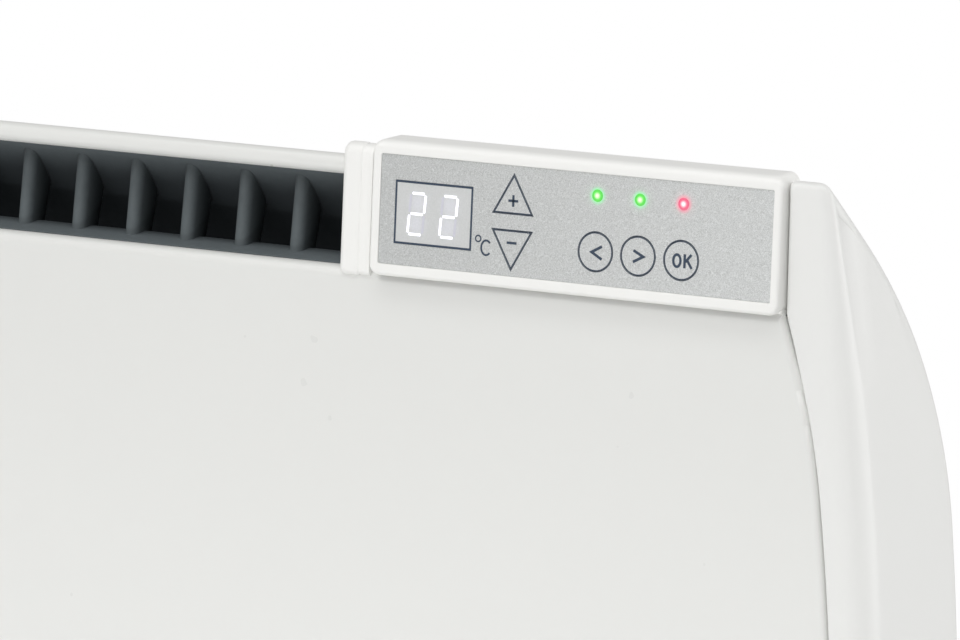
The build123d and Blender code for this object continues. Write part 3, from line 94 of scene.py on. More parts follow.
# ---------------------------------------------------------------- materials
class Shader:
    """A principled material with its procedural detail in object coordinates."""

    def __init__(self, name, colour, roughness, metallic=0.0, specular=0.5):
        self.material = bpy.data.materials.new(name)
        self.material.use_nodes = True
        self.tree = self.material.node_tree
        self.bsdf = self.tree.nodes["Principled BSDF"]
        self.colour = (*colour, 1.0)
        self.bsdf.inputs["Base Color"].default_value = self.colour
        self.bsdf.inputs["Roughness"].default_value = roughness
        self.bsdf.inputs["Metallic"].default_value = metallic
        self.bsdf.inputs["Specular IOR Level"].default_value = specular
        self.coordinates = self.tree.nodes.new("ShaderNodeTexCoord").outputs["Object"]
        self.bump = None

    def node(self, kind, **values):
        """A new node of that kind, with its properties set."""
        made = self.tree.nodes.new(kind)
        for key, value in values.items():
            setattr(made, key, value)
        return made

    def link(self, a, b):
        self.tree.links.new(a, b)

    def noise(self, size_mm, detail=2.0, stretch=(1, 1, 1)):
        """Noise whose features are about size_mm across."""
        source = self.coordinates
        if tuple(stretch) != (1, 1, 1):
            mapping = self.node("ShaderNodeMapping")
            mapping.inputs["Scale"].default_value = stretch
            self.link(source, mapping.inputs["Vector"])
            source = mapping.outputs["Vector"]
        made = self.node("ShaderNodeTexNoise")
        made.inputs["Scale"].default_value = 1.0 / (size_mm * MM)
        made.inputs["Detail"].default_value = detail
        self.link(source, made.inputs["Vector"])
        return made.outputs["Fac"]

    def ramp(self, source, start=(0.0, 1.0), end=(0.0, 1.0), blend="LINEAR"):
        """The source mapped from the start span to the end span, and held past its ends."""
        made = self.node("ShaderNodeMapRange", interpolation_type=blend)
        made.inputs["From Min"].default_value, made.inputs["From Max"].default_value = start
        made.inputs["To Min"].default_value, made.inputs["To Max"].default_value = end
        self.link(source, made.inputs["Value"])
        return made.outputs["Result"]

    def axis(self, letter):
        """Object coordinate along one axis, in metres."""
        split = self.node("ShaderNodeSeparateXYZ")
        self.link(self.coordinates, split.inputs["Vector"])
        return split.outputs[letter]

    def vary(self, size_mm, amount, socket="Base Color", detail=2.0, stretch=(1, 1, 1)):
        """Colour or roughness that wanders by amount either side of its own value."""
        field = self.noise(size_mm, detail, stretch)
        if socket == "Base Color":
            mix = self.node("ShaderNodeMix", data_type="RGBA")
            darker = [c * (1 - amount) for c in self.colour[:3]]
            lighter = [min(c * (1 + amount), 1) for c in self.colour[:3]]
            mix.inputs["A"].default_value = (*darker, 1)
            mix.inputs["B"].default_value = (*lighter, 1)
            self.link(field, mix.inputs["Factor"])
            self.link(mix.outputs["Result"], self.bsdf.inputs[socket])
            return mix.outputs["Result"]
        base = self.bsdf.inputs[socket].default_value
        level = self.ramp(field, end=(max(base - amount, 0.02), min(base + amount, 1.0)))
        self.link(level, self.bsdf.inputs[socket])
        return level

    def relief(self, size_mm, depth_mm, detail=2.0, stretch=(1, 1, 1)):
        """Fine relief of the surface; several calls add up."""
        bump = self.node("ShaderNodeBump")
        bump.inputs["Strength"].default_value = 1.0
        bump.inputs["Distance"].default_value = depth_mm * MM
        self.link(self.noise(size_mm, detail, stretch), bump.inputs["Height"])
        if self.bump is not None:
            self.link(self.bump.outputs["Normal"], bump.inputs["Normal"])
        self.link(bump.outputs["Normal"], self.bsdf.inputs["Normal"])
        self.bump = bump

    def near(self, points, reach_mm, full_mm=0.0, blend="SMOOTHERSTEP"):
        """A soft spot round each point: 1 up to full_mm from it, falling to 0 at reach_mm."""
        span = (full_mm * MM, reach_mm * MM)
        total = None
        for point in points:
            away = self.node("ShaderNodeVectorMath", operation="DISTANCE")
            away.inputs[1].default_value = point
            self.link(self.coordinates, away.inputs[0])
            spot = self.ramp(away.outputs["Value"], start=span, end=(1.0, 0.0), blend=blend)
            if total is None:
                total = spot
                continue
            join = self.node("ShaderNodeMath", operation="MAXIMUM")
            self.link(total, join.inputs[0])
            self.link(spot, join.inputs[1])
            total = join.outputs["Value"]
        return total

    def paint_light_colour(self, colour, points, full_mm, reach_mm):
        """Paints the lamps' light as colour round each point: fully up to full_mm, not at all past
        reach_mm.
        """
        before = self.bsdf.inputs["Base Color"].links[0].from_socket
        lit_colour = self.node("ShaderNodeMix", data_type="RGBA")
        lit_colour.inputs["B"].default_value = (*colour, 1)
        self.link(self.near(points, reach_mm, full_mm, "SMOOTHSTEP"), lit_colour.inputs["Factor"])
        self.link(before, lit_colour.inputs["A"])
        self.link(lit_colour.outputs["Result"], self.bsdf.inputs["Base Color"])

    def glow(self, colour, field, strength):
        """Adds light of one colour where field is high."""
        shine = self.node("ShaderNodeEmission")
        shine.inputs["Color"].default_value = (*colour, 1)
        scale = self.node("ShaderNodeMath", operation="MULTIPLY")
        scale.inputs[1].default_value = strength
        self.link(field, scale.inputs[0])
        self.link(scale.outputs["Value"], shine.inputs["Strength"])
        output = self.tree.nodes["Material Output"]
        before = output.inputs["Surface"].links[0].from_socket
        both = self.node("ShaderNodeAddShader")
        self.link(before, both.inputs[0])
        self.link(shine.outputs["Emission"], both.inputs[1])
        self.link(both.outputs["Shader"], output.inputs["Surface"])


def painted(name, colour, roughness, peel=(1.6, 0.010), vary=0.012):
    """Powder-coated sheet: orange peel (size, depth), a finer grain and a faint drift of shade."""
    shader = Shader(name, colour, roughness)
    shader.vary(size_mm=160.0, amount=vary)
    shader.vary(size_mm=9.0, amount=0.05, socket="Roughness")
    shader.relief(*peel)
    shader.relief(size_mm=0.28, depth_mm=0.0016)
    return shader


def moulded(name, colour, roughness, grain=(0.35, 0.006), vary=0.012):
    """Moulded plastic with a fine spark-eroded grain (size, depth) and slow sink marks."""
    shader = Shader(name, colour, roughness)
    shader.vary(size_mm=60.0, amount=vary)
    shader.vary(size_mm=4.0, amount=0.04, socket="Roughness")
    shader.relief(*grain, detail=3.0)
    shader.relief(size_mm=24.0, depth_mm=0.02)
    return shader


def metal(name, colour, roughness, stretch=(1, 1, 1), mottle=6.0):
    """Bare or plated metal with rolling marks and cloudy variation."""
    grain = 0.5
    shader = Shader(name, colour, roughness, metallic=1.0)
    shader.vary(mottle, amount=0.14, detail=4.0)
    shader.vary(grain, amount=0.10, socket="Roughness", stretch=stretch)
    shader.relief(grain, depth_mm=0.003, stretch=stretch)
    return shader


LAMP_LEVEL = 0.1     # the glow's middle stands this far out of the label
LAMPS_GREEN = [on_face(x, LAMP_ROW, LAMP_LEVEL) for x in GREEN_X]
LAMPS_RED = [on_face(RED_X, LAMP_ROW, LAMP_LEVEL)]
GREEN = (0.10, 1.0, 0.16)
RED = (1.0, 0.06, 0.16)
SILVER = (0.572, 0.584, 0.577)
FLAKE = 0.45         # size of the brighter flakes
FLAKE_COLOUR = (0.86, 0.87, 0.88, 1)


def sparkle(shader):
    """Metallic flake: fine light and dark grains with a few brighter ones, and painted shade
    towards the label's left end.
    """
    grain = shader.vary(size_mm=0.30, amount=0.62, detail=3.0)
    flakes = shader.node("ShaderNodeTexVoronoi", feature="F1")
    flakes.inputs["Scale"].default_value = 1.0 / (FLAKE * MM)
    shader.link(shader.coordinates, flakes.inputs["Vector"])
    split = shader.node("ShaderNodeSeparateColor")
    shader.link(flakes.outputs["Color"], split.inputs["Color"])
    over = shader.node("ShaderNodeMix", data_type="RGBA")
    over.inputs["B"].default_value = FLAKE_COLOUR
    bright = shader.ramp(split.outputs["Red"], start=(0.72, 1.0), end=(0.0, 0.26))
    shader.link(bright, over.inputs["Factor"])
    shader.link(grain, over.inputs["A"])
    # painted shade: the print's colour darkens towards the label's left end, standing in for the
    # light falling off there
    ends = (LABEL.x - LABEL_HALF * MM, LABEL.x + LABEL_HALF * MM)
    along = shader.ramp(shader.axis("X"), start=ends, end=(0.90, 1.05))
    drift = shader.node("ShaderNodeVectorMath", operation="SCALE")
    shader.link(over.outputs["Result"], drift.inputs[0])
    shader.link(along, drift.inputs["Scale"])
    shader.link(drift.outputs["Vector"], shader.bsdf.inputs["Base Color"])


def silver_film():
    """Silver print under clear film, with fine sparkle, the lamps' light painted on round them as
    glow and colour, and painted shade towards its left end.
    """
    shader = Shader("silver_film", SILVER, 0.42, metallic=0.12)
    sparkle(shader)
    shader.vary(size_mm=1.4, amount=0.08, socket="Roughness")
    # painted light: the lamps' glow on the film round them
    shader.glow(GREEN, shader.near(LAMPS_GREEN, reach_mm=6.0), strength=0.08)
    shader.glow(RED, shader.near(LAMPS_RED, reach_mm=6.0), strength=0.10)
    # painted light: the lamps' colour painted into the film round them
    shader.paint_light_colour((0.45, 0.90, 0.56), LAMPS_GREEN, full_mm=1.7, reach_mm=3.2)
    shader.paint_light_colour((0.92, 0.42, 0.50), LAMPS_RED, full_mm=1.7, reach_mm=3.3)
    return shader


def lamp(name, colour, centres, deep, core):
    """Lit indicator lamp, pale in the middle and coloured at its rim."""
    shader = Shader(name, deep, roughness=0.22)
    shader.vary(size_mm=0.8, amount=0.10)
    shader.glow(colour, shader.near(centres, reach_mm=2.6), strength=0.12)
    shader.glow(core, shader.near(centres, reach_mm=1.5), strength=1.0)
    return shader


def segment(name, colour, strength):
    """Light pipe of the display, lit a little unevenly or dark."""
    size = 1.2
    shader = Shader(name, colour, roughness=0.5)
    shader.vary(size, amount=0.05)
    if strength > 0:
        shader.glow((0.93, 0.92, 1.0), shader.ramp(shader.noise(size), end=(0.9, 1.1)), strength)
    return shader


def pane():
    """Satin window over the display, with a painted lavender glow round the lit digits."""
    shader = Shader("pane", (0.67, 0.68, 0.675), roughness=0.36)
    shader.vary(size_mm=0.5, amount=0.10)
    shader.relief(size_mm=0.6, depth_mm=0.002)
    loops = [
        on_face(x + sign * LOOP_SLANT, DIGIT_ROW + sign * LOOP_RISE)
        for x in DIGIT_X
        for sign in (1, -1)
    ]
    # painted light: the lit digits' glow on the window
    shader.glow((0.72, 0.70, 1.0), shader.near(loops, reach_mm=5.6), strength=0.10)
    shader.bsdf.inputs["Alpha"].default_value = 0.88
    return shader


FRONT_BLACK = (0.110, 0.128, 0.135)
SHADED_BLACK = (0.032, 0.038, 0.042, 1)
SHADE_DEPTH = (-0.0765, -0.0625)    # Y where the painted shade starts to darken the black and where it is full


def grille_black():
    """Dull black coating, with painted shade making it darker deeper in the slot."""
    shader = Shader("grille_black", FRONT_BLACK, roughness=0.60, specular=0.3)
    mottled_black = shader.vary(size_mm=2.5, amount=0.10)
    shader.relief(size_mm=0.8, depth_mm=0.02)
    # painted shade: the black turns darker towards the back of the slot
    deep = shader.node("ShaderNodeMix", data_type="RGBA")
    deep.inputs["B"].default_value = SHADED_BLACK
    depth = shader.ramp(shader.axis("Y"), start=SHADE_DEPTH, blend="SMOOTHSTEP")
    shader.link(depth, deep.inputs["Factor"])
    shader.link(mottled_black, deep.inputs["A"])
    shader.link(deep.outputs["Result"], shader.bsdf.inputs["Base Color"])
    return shader


WHITE_STEEL = (0.755, 0.758, 0.735)
WHITE_PLASTIC = (0.870, 0.868, 0.845)
# the same white plastic as the bezel, painted darker on the end caps as shade
CAP_WHITE_SHADED = (0.795, 0.796, 0.778)

shaders = {
    "white_steel": painted("white_steel", WHITE_STEEL, 0.30),
    "white_plastic": moulded("white_plastic", WHITE_PLASTIC, 0.40),
    "cap_white_shaded": moulded("cap_white_shaded", CAP_WHITE_SHADED, 0.42),
    "grille_black": grille_black(),
    "dark_steel": painted("dark_steel", (0.016, 0.021, 0.023), 0.55, peel=(0.8, 0.02), vary=0.2),
    "zinc_steel": metal("zinc_steel", (0.62, 0.63, 0.64), 0.38, mottle=9.0),
    "aluminium": metal("aluminium", (0.72, 0.72, 0.73), 0.34, stretch=(0.05, 1, 1)),
    "sheath_steel": metal("sheath_steel", (0.36, 0.31, 0.26), 0.36, mottle=14.0),
    "ceramic": moulded("ceramic", (0.80, 0.77, 0.70), 0.7, grain=(0.25, 0.02), vary=0.05),
    "silver_film": silver_film(),
    "pane": pane(),
    "segment_lit": segment("segment_lit", (0.90, 0.90, 0.95), 0.55),
    "segment_dark": segment("segment_dark", (0.60, 0.60, 0.66), 0.0),
    "lamp_green": lamp("lamp_green", GREEN, LAMPS_GREEN, (0.13, 0.78, 0.10), (0.95, 0.5, 0.75)),
    "lamp_red": lamp("lamp_red", RED, LAMPS_RED, (0.90, 0.16, 0.27), (0.4, 1.0, 0.9)),
    "board": moulded("board", (0.03, 0.16, 0.07), 0.35, grain=(0.5, 0.01), vary=0.18),
    "black_plastic": moulded("black_plastic", (0.018, 0.018, 0.021), 0.45, vary=0.2),
    "display_body": moulded("display_body", (0.56, 0.56, 0.62), 0.5, vary=0.03),
    "contact_brass": metal("contact_brass", (0.75, 0.56, 0.26), 0.28),
    "relay_blue": moulded("relay_blue", (0.03, 0.09, 0.32), 0.35, vary=0.06),
    "lead": moulded("lead", (0.74, 0.73, 0.68), 0.55, grain=(0.6, 0.01), vary=0.04),
    "screw_steel": metal("screw_steel", (0.70, 0.70, 0.71), 0.25, mottle=3.0),
    "spring_steel": metal("spring_steel", (0.45, 0.46, 0.48), 0.30, stretch=(1, 1, 0.1)),
}

for entry in frame["record"]["subparts"]:
    node = nodes[entry["node"]]
    if not node.material_slots:
        node.data.materials.append(None)
    for place in node.material_slots:
        place.material = shaders[entry["material_slot"]].material

ink = Shader("ink", (0.038, 0.058, 0.092), roughness=0.40)
ink.vary(size_mm=0.6, amount=0.18)
ink.relief(size_mm=0.5, depth_mm=0.003)


# ---------------------------------------------------------------- rounded mouldings
LEAST_RADIUS = 0.2   # of a corner that an inset has used up, in mm
WELD = 0.000004      # points closer than this are joined, in metres


def corner_lines(corners, delta):
    """The polygon's edges moved in by delta, as (point, direction) in order."""
    area = sum(a[0] * b[1] - b[0] * a[1] for a, b in zip(corners, corners[1:] + corners[:1]))
    turn = 1.0 if area > 0 else -1.0
    lines = []
    for a, b in zip(corners, corners[1:] + corners[:1]):
        along = (Vector(b) - Vector(a)).normalized()
        inward = Vector((-along.y, along.x)) * turn
        lines.append((Vector(a) + inward * delta, along))
    return lines, turn


def rectangle(left, right, low, high):
    """Corners of a rectangle, from the lower left one."""
    return [(left, low), (right, low), (right, high), (left, high)]


def outline(corners, radii, steps, spans, delta=0.0):
    """Points round a polygon with filleted corners, moved in by delta; always as many."""
    lines, turn = corner_lines(corners, delta)
    count = len(corners)
    points = []
    arcs = []
    for i in range(count):
        (p, d), (q, e) = lines[i - 1], lines[i]
        cross = d.x * e.y - d.y * e.x
        reach = ((q - p).x * e.y - (q - p).y * e.x) / cross
        corner = p + d * reach
        angle = math.atan2(cross, d.dot(e))
        convex = angle * turn > 0
        radius = max(radii[i] - delta, LEAST_RADIUS) if convex else radii[i] + delta
        if steps[i] == 0:
            arcs.append([corner])
            continue
        start = corner - d * radius * math.tan(abs(angle) / 2)
        inward = Vector((-d.y, d.x)) * math.copysign(1.0, angle)
        centre = start + inward * radius
        spoke = start - centre
        bend = []
        for k in range(steps[i] + 1):
            c, s = math.cos(angle * k / steps[i]), math.sin(angle * k / steps[i])
            bend.append(centre + Vector((spoke.x * c - spoke.y * s, spoke.x * s + spoke.y * c)))
        arcs.append(bend)
    for i in range(count):
        points += arcs[i]
        a, b = arcs[i][-1], arcs[(i + 1) % count][0]
        points += [a.lerp(b, k / (spans[i] + 1)) for k in range(1, spans[i] + 1)]
    return points


def finish_mesh(name, body, slot_name, made, replaced, look=None):
    """Turn the mesh under construction into a smooth-shaded piece of a body.

    The look is the material slot's own, unless another shader is named.
    """
    bmesh.ops.remove_doubles(made, verts=made.verts, dist=WELD)
    bmesh.ops.recalc_face_normals(made, faces=made.faces)
    mesh = bpy.data.meshes.new(name)
    made.to_mesh(mesh)
    made.free()
    mesh.polygons.foreach_set("use_smooth", [True] * len(mesh.polygons))
    mesh.set_sharp_from_angle(angle=math.radians(38.0))
    mesh.materials.append(shaders[look or slot_name].material)
    piece = bpy.data.objects.new(name, mesh)
    bpy.context.scene.collection.objects.link(piece)
    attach(piece, body)
    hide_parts(*replaced)


def add_rings(made, rings, first_face=False, last_face=False):
    """Skin over closed rings of equal length, given as points in metres."""
    loops = [[made.verts.new(point) for point in ring] for ring in rings]
    size = len(loops[0])
    for here, there in zip(loops, loops[1:]):
        for k in range(size):
            made.faces.new((here[k], here[(k + 1) % size], there[(k + 1) % size], there[k]))
    if first_face:
        made.faces.new(loops[0][::-1])
    if last_face:
        made.faces.new(loops[-1])


def add_bar(made, section, stations):
    """Closed bar along X: a section of (y, z) points at each station, all in mm."""
    rings = [[Vector((x, y, z)) * MM for y, z in section] for x in stations]
    add_rings(made, rings, first_face=True, last_face=True)


def smooth(value):
    """Soft step from 0 to 1."""
    value = min(max(value, 0.0), 1.0)
    return value * value * (3 - 2 * value)


def unit(degrees):
    """Cosine and sine of an angle in degrees."""
    return math.cos(math.radians(degrees)), math.sin(math.radians(degrees))


# body of the heater, in mm
TOP = 183.0
FRONT = -84.0
BACK = -25.0
END = 359.99
EDGE = 329.0
SLOPE_Z, SLOPE_Y = unit(48.0)
NOSE = 5.07
REACH = SLOPE_Y * (FRONT + NOSE) + SLOPE_Z * (TOP - NOSE) + NOSE
BOW = 16.6
BOW_RADIUS = (TOP**2 + BOW**2) / (2 * BOW)
SEAM_TOP = 143.5
SEAM_MID = 17.3      # how far the seam bows out past the straight edge
SEAM_KNEE = (EDGE + SEAM_MID - 4.7, SEAM_TOP - 54.0)


def slope_height(y, inset=0.0):
    """Height at depth y of the sloping shoulder, or of a plane that far inside it."""
    return (REACH - inset - SLOPE_Y * y) / SLOPE_Z


def end_x(z):
    """The bowed end of the heater."""
    return END - BOW_RADIUS + math.sqrt(BOW_RADIUS**2 - z**2)


def seam_x(z):
    """The curved edge of the front panel."""
    z = abs(z)
    if z >= SEAM_TOP:
        return EDGE
    knee_x, knee_z = SEAM_KNEE
    drop = EDGE + SEAM_MID - knee_x
    belly = (knee_z**2 + drop**2) / (2 * drop)
    if z <= knee_z:
        return EDGE + SEAM_MID - belly + math.sqrt(belly**2 - z**2)
    tangent = Vector((-knee_z, belly - drop)) / belly
    normal = Vector((-tangent.y, tangent.x))
    chord = Vector((EDGE - knee_x, SEAM_TOP - knee_z))
    radius = chord.length_squared / (2 * chord.dot(normal))
    centre = Vector(SEAM_KNEE) + normal * radius
    return centre.x + math.sqrt(radius**2 - (z - centre.y) ** 2)


# ---- end caps
CAP_CORNERS = [
    (FRONT, -slope_height(FRONT)),
    (FRONT, TOP - 63.0),
    (FRONT + 3.0, slope_height(FRONT + 3.0)),
    (BACK, slope_height(BACK)),
    (BACK, -slope_height(BACK)),
]
CAP_RADII = [NOSE, 0.0, 2.4, 140.0, 140.0]
CAP_STEPS = [10, 0, 10, 26, 26]
CAP_SPANS = [64, 22, 18, 24, 18]
CAP_WALL = 2.4
FRONT_RIM = 8.5      # rounding of the outer edge, along the front
NOSE_RIM = 5.2       # the same towards the top and the foot of the front
BACK_RIM = 4.2       # the same behind
NOSE_FROM, NOSE_SPAN = 120.0, 58.0
BACK_FROM, BACK_SPAN = 4.0, 42.0
FRONT_BAND = 4.5     # how far behind the front the seam's curve is followed
LIP = 0.8            # rounding of the edge along the panel
LIP_GROWTH = 0.7     # added to it beside the thermostat
LIP_FROM, LIP_SPAN = 128.0, 20.0
LIP_DEPTH = 6.0
SEAM_CLEARANCE = 0.08
SPINE_Y, SPINE_REACH = -54.0, 150.0    # line in the flank that its faces run to
INNER_WALL_FROM, INNER_WALL_X = 141.0, (0.3, 2.0)    # lowest height, and span past the edge


@functools.cache
def cap_outline(delta):
    """Side view of the cap, moved in by delta."""
    return outline(CAP_CORNERS, CAP_RADII, CAP_STEPS, CAP_SPANS, delta)


def end_cap(name, side):
    """Moulded end cap with a soft front edge and a crisp lip along the panel."""
    columns = []
    for i, (y, z) in enumerate(cap_outline(0.0)):
        on_front = y < FRONT + FRONT_BAND
        start = (seam_x(z) if on_front else EDGE) + SEAM_CLEARANCE
        front_rim = FRONT_RIM + (NOSE_RIM - FRONT_RIM) * smooth((abs(z) - NOSE_FROM) / NOSE_SPAN)
        rim = BACK_RIM + (front_rim - BACK_RIM) * smooth(1 - (y - FRONT - BACK_FROM) / BACK_SPAN)
        lip = LIP + LIP_GROWTH * smooth((abs(z) - LIP_FROM) / LIP_SPAN)
        stop = end_x(z)
        # (x, inset) from the panel's edge over the front face and round the outer edge
        places = [(start, LIP_DEPTH), (start, lip)]
        for t in range(15, 91, 15):
            c, s = unit(t)
            places.append((start + lip - lip * c, lip - lip * s))
        places += [(start + lip + (stop - rim - start - lip) * k / 7, 0.0) for k in range(1, 8)]
        for t in range(6, 91, 6):
            c, s = unit(t)
            places.append((stop - rim + rim * s, rim - rim * c))
        column = [(x, *cap_outline(round(inset, 3))[i]) for x, inset in places]
        edge = Vector(column[-1][1:])
        spine = Vector((SPINE_Y, min(max(edge.y, -SPINE_REACH), SPINE_REACH)))
        for share in (0.2, 0.5, 0.8, 1.0):
            inner = edge.lerp(spine, share)
            column.append((end_x(inner.y), inner.x, inner.y))
        columns.append(column)
    made = bmesh.new()
    add_rings(made, [[Vector((side * x, y, z)) * MM for x, y, z in ring] for ring in zip(*columns)])
    # inner wall beside the thermostat and the air outlet
    wall = [p for p in cap_outline(CAP_WALL) if p.y > INNER_WALL_FROM]
    add_bar(made, wall, [side * (EDGE + x) for x in INNER_WALL_X])
    # the caps take the white plastic painted darker, as shade on them
    finish_mesh(f"{name}_skin", "heater", "white_plastic", made, (name,), look="cap_white_shaded")


end_cap("right_end_cap", 1)
end_cap("left_end_cap", -1)


# ---- frame of the display
FRAME_LEFT, FRAME_RIGHT, FRAME_LOW, FRAME_HIGH = -72.75, 72.2, -20.8, 21.4
FRAME_CORNER = 3.4
FRAME_FRONT = 0.40
FRAME_EDGES = {"left": 1.1, "right": 1.1, "low": 1.3, "high": 3.0}    # roundings of its edges
FRAME_BACK = -11.0
FRAME_WALL = 1.6
CROWN_FROM, CROWN_RISE = 1.9, 0.0776    # the top rises by this share of the depth past 1.9 mm
OPENING = (69.56, 17.06)
OPENING_CORNER = 0.5
FRAME_STEPS = [12, 12, 12, 12]
FRAME_SPANS = [40, 12, 40, 12]
SKIRT = (71.6, -18.3, -16.7)            # half width, low and high edge of its underside


def bezel():
    """Soft-edged frame round the label, with its skirt running back into the cradle."""
    outer_corners = rectangle(FRAME_LEFT, FRAME_RIGHT, FRAME_LOW, FRAME_HIGH)
    wide, high = OPENING
    inner_corners = rectangle(-wide, wide, -high, high)

    @functools.cache
    def outside(inset):
        return outline(outer_corners, [FRAME_CORNER] * 4, FRAME_STEPS, FRAME_SPANS, inset)

    def outer(delta, i):
        return outside(round(delta, 3))[i]

    inner, grown, wider = (
        outline(inner_corners, [OPENING_CORNER] * 4, FRAME_STEPS, FRAME_SPANS, delta)
        for delta in (0.0, -0.14, -0.40)
    )
    base = outside(0.0)
    rows = []
    for i in range(len(base)):
        ahead, behind = base[(i + 1) % len(base)], base[i - 1]
        along = (ahead - behind).normalized()
        normal = Vector((along.y, -along.x))
        share = {
            "left": max(-normal.x, 0) ** 2,
            "right": max(normal.x, 0) ** 2,
            "low": max(-normal.y, 0) ** 2,
            "high": max(normal.y, 0) ** 2,
        }
        edge = sum(FRAME_EDGES[key] * share[key] for key in share)
        # (place, level) from the label over the front face, round the edge and down the side
        row = [(inner[i], -0.45), (inner[i], 0.20), (grown[i], 0.34), (wider[i], FRAME_FRONT)]
        row.append((wider[i].lerp(outer(edge, i), 0.5), FRAME_FRONT))
        for t in range(0, 91, 9):
            c, s = unit(t)
            row.append((outer(edge * (1 - s), i), FRAME_FRONT - edge * (1 - c)))
        last = FRAME_FRONT - edge
        stop = FRAME_BACK + (last - 0.2 - FRAME_BACK) * share["low"]
        for k in range(1, 7):
            depth = last + (stop - last) * k / 6
            crown = max(-depth - CROWN_FROM, 0.0) * CROWN_RISE * share["high"]
            row.append((base[i] + Vector((0, crown)), depth))
        row.append((row[-1][0] - normal * FRAME_WALL, stop))
        rows.append(row)
    made = bmesh.new()
    add_rings(made, [[on_face(*place, level) for place, level in ring] for ring in zip(*rows)])
    # underside of the skirt, above the lower lip
    half, low, high = SKIRT
    foot = outline(rectangle(-half, half, low, high), [0.5] * 4, [3] * 4, [4, 0, 4, 0])
    rings = [[on_face(*p, level) for p in foot] for level in (-2.3, -5.0, -8.0, -10.9)]
    add_rings(made, rings, first_face=True, last_face=True)
    finish_mesh("bezel_skin", "thermostat", "white_plastic", made, ("bezel_shell",))


bezel()


# ---- cradle of the thermostat with its collar
COLLAR_LEFT, COLLAR_STEP, COLLAR_RIGHT = -85.65, -78.1, -74.15
COLLAR_FOOT = -22.3
COLLAR_DEPTH, TRAY_DEPTH = 2.0, 30.0    # behind the label's face
COLLAR_RIM = 2.6
FLOOR_LOW, FLOOR_WALL = -20.4, 1.4
TRAY_FRONT, BULKHEAD_FRONT, BULKHEAD_BACK = 2.9, 22.0, 28.0
TRAY_X = (184.4, 220.0, 256.0, 292.0, 328.5)
TONGUE_X = (172.9, 225.0, 277.0, 328.5)
TONGUE_DROP = 17.0                      # foot of the tongue under the label's middle
# the collar's front past its rounded left edge: (x, inset), with the step's shallow groove
COLLAR_PROFILE = [
    (COLLAR_LEFT + COLLAR_RIM, 0.0),
    (COLLAR_STEP - 0.9, 0.0),
    (COLLAR_STEP - 0.45, 0.03),
    (COLLAR_STEP - 0.2, 0.14),
    (COLLAR_STEP, 0.36),
    (COLLAR_STEP + 0.22, 0.40),
    (COLLAR_STEP + 0.5, 0.30),
    (COLLAR_STEP + 1.0, 0.26),
    (COLLAR_RIGHT - 1.0, 0.26),
    (COLLAR_RIGHT - 0.30, 0.28),
    (COLLAR_RIGHT - 0.09, 0.37),
    (COLLAR_RIGHT, 0.58),
]


def face_point(depth, level):
    """(y, z) of a point behind the leaning face, in mm."""
    point = on_face(0, level, -depth) / MM
    return (point.y, point.z)


def roof_point(depth, inset=0.0):
    """(y, z) where a plane behind the leaning face meets the sloping shoulder."""
    low, high = 0.0, 60.0
    for _ in range(40):
        middle = (low + high) / 2
        y, z = face_point(depth, middle)
        low, high = (middle, high) if z < slope_height(y, inset) else (low, middle)
    return face_point(depth, low)


def cradle():
    """Collar beside the display, and the tray that the module stands in."""
    made = bmesh.new()
    corners = [
        face_point(COLLAR_DEPTH, COLLAR_FOOT),
        roof_point(COLLAR_DEPTH, 0.1),
        roof_point(TRAY_DEPTH),
        face_point(TRAY_DEPTH, FLOOR_LOW),
    ]
    profile = []
    for t in range(90, 0, -9):
        c, s = unit(t)
        profile.append((COLLAR_LEFT + COLLAR_RIM * (1 - s), COLLAR_RIM * (1 - c)))
    rings = []
    radii, steps, spans = [2.2, 3.8, 1.0, 1.0], [8, 10, 4, 4], [20, 14, 8, 14]
    for x, inset in profile + COLLAR_PROFILE:
        side = outline(corners, radii, steps, spans, round(inset, 3))
        rings.append([Vector((LABEL.x / MM + x, *p)) * MM for p in side])
    add_rings(made, rings, first_face=True, last_face=True)
    # floor and bulkhead of the tray
    back_y = roof_point(BULKHEAD_BACK)[0] - 0.8
    front_y = roof_point(BULKHEAD_FRONT)[0]
    tray = [
        face_point(TRAY_FRONT, FLOOR_LOW),
        face_point(TRAY_FRONT, FLOOR_LOW + FLOOR_WALL),
        face_point(BULKHEAD_BACK, FLOOR_LOW + FLOOR_WALL),
        (back_y, slope_height(back_y, 2.0)),
        (front_y, slope_height(front_y, 2.0)),
        (front_y, slope_height(front_y)),
        roof_point(TRAY_DEPTH),
        face_point(TRAY_DEPTH, FLOOR_LOW),
    ]
    section = outline(tray, [0.4, 0.3, 0.6, 0.4, 0.3, 0.5, 0.8, 0.8], [2] * 8, [3] * 8)
    add_bar(made, section, TRAY_X)
    # tongue that carries on the casing's shoulder behind the tray
    low_z, from_y = LABEL.z / MM - TONGUE_DROP, roof_point(TRAY_DEPTH - 1.0)[0]
    edge = [(y, z) for y, z in cap_outline(0.0) if z >= low_z and y > from_y]
    edge.sort(key=lambda p: -p[1])
    inner = [(y - 1.5, z - 1.35) for y, z in edge]
    add_bar(made, edge + inner[::-1], TONGUE_X)
    finish_mesh("cradle_skin", "heater", "white_plastic", made, ("thermostat_cradle",))


cradle()


# ---- outlet grille
GRILLE_LEFT, GRILLE_RIGHT = -328.55, 172.4
GRILLE_FRONT = -72.5
GRILLE_LOW, BAR_TOP = 142.0, 146.8
LIP_FRONT, PANEL_TOP = -80.3, 144.8
FIN_HALF, FIN_NOSE, FIN_DEPTH, FIN_RAKE = 2.5, 2.6, 9.5, 4.5
FIN_PITCH, FIRST_FIN = 20.6, 3.9        # the first fin's middle from the right end
ROOF_Y = (-70.0, -66.0, -62.0, -58.0)
WALL_Y = -51.0


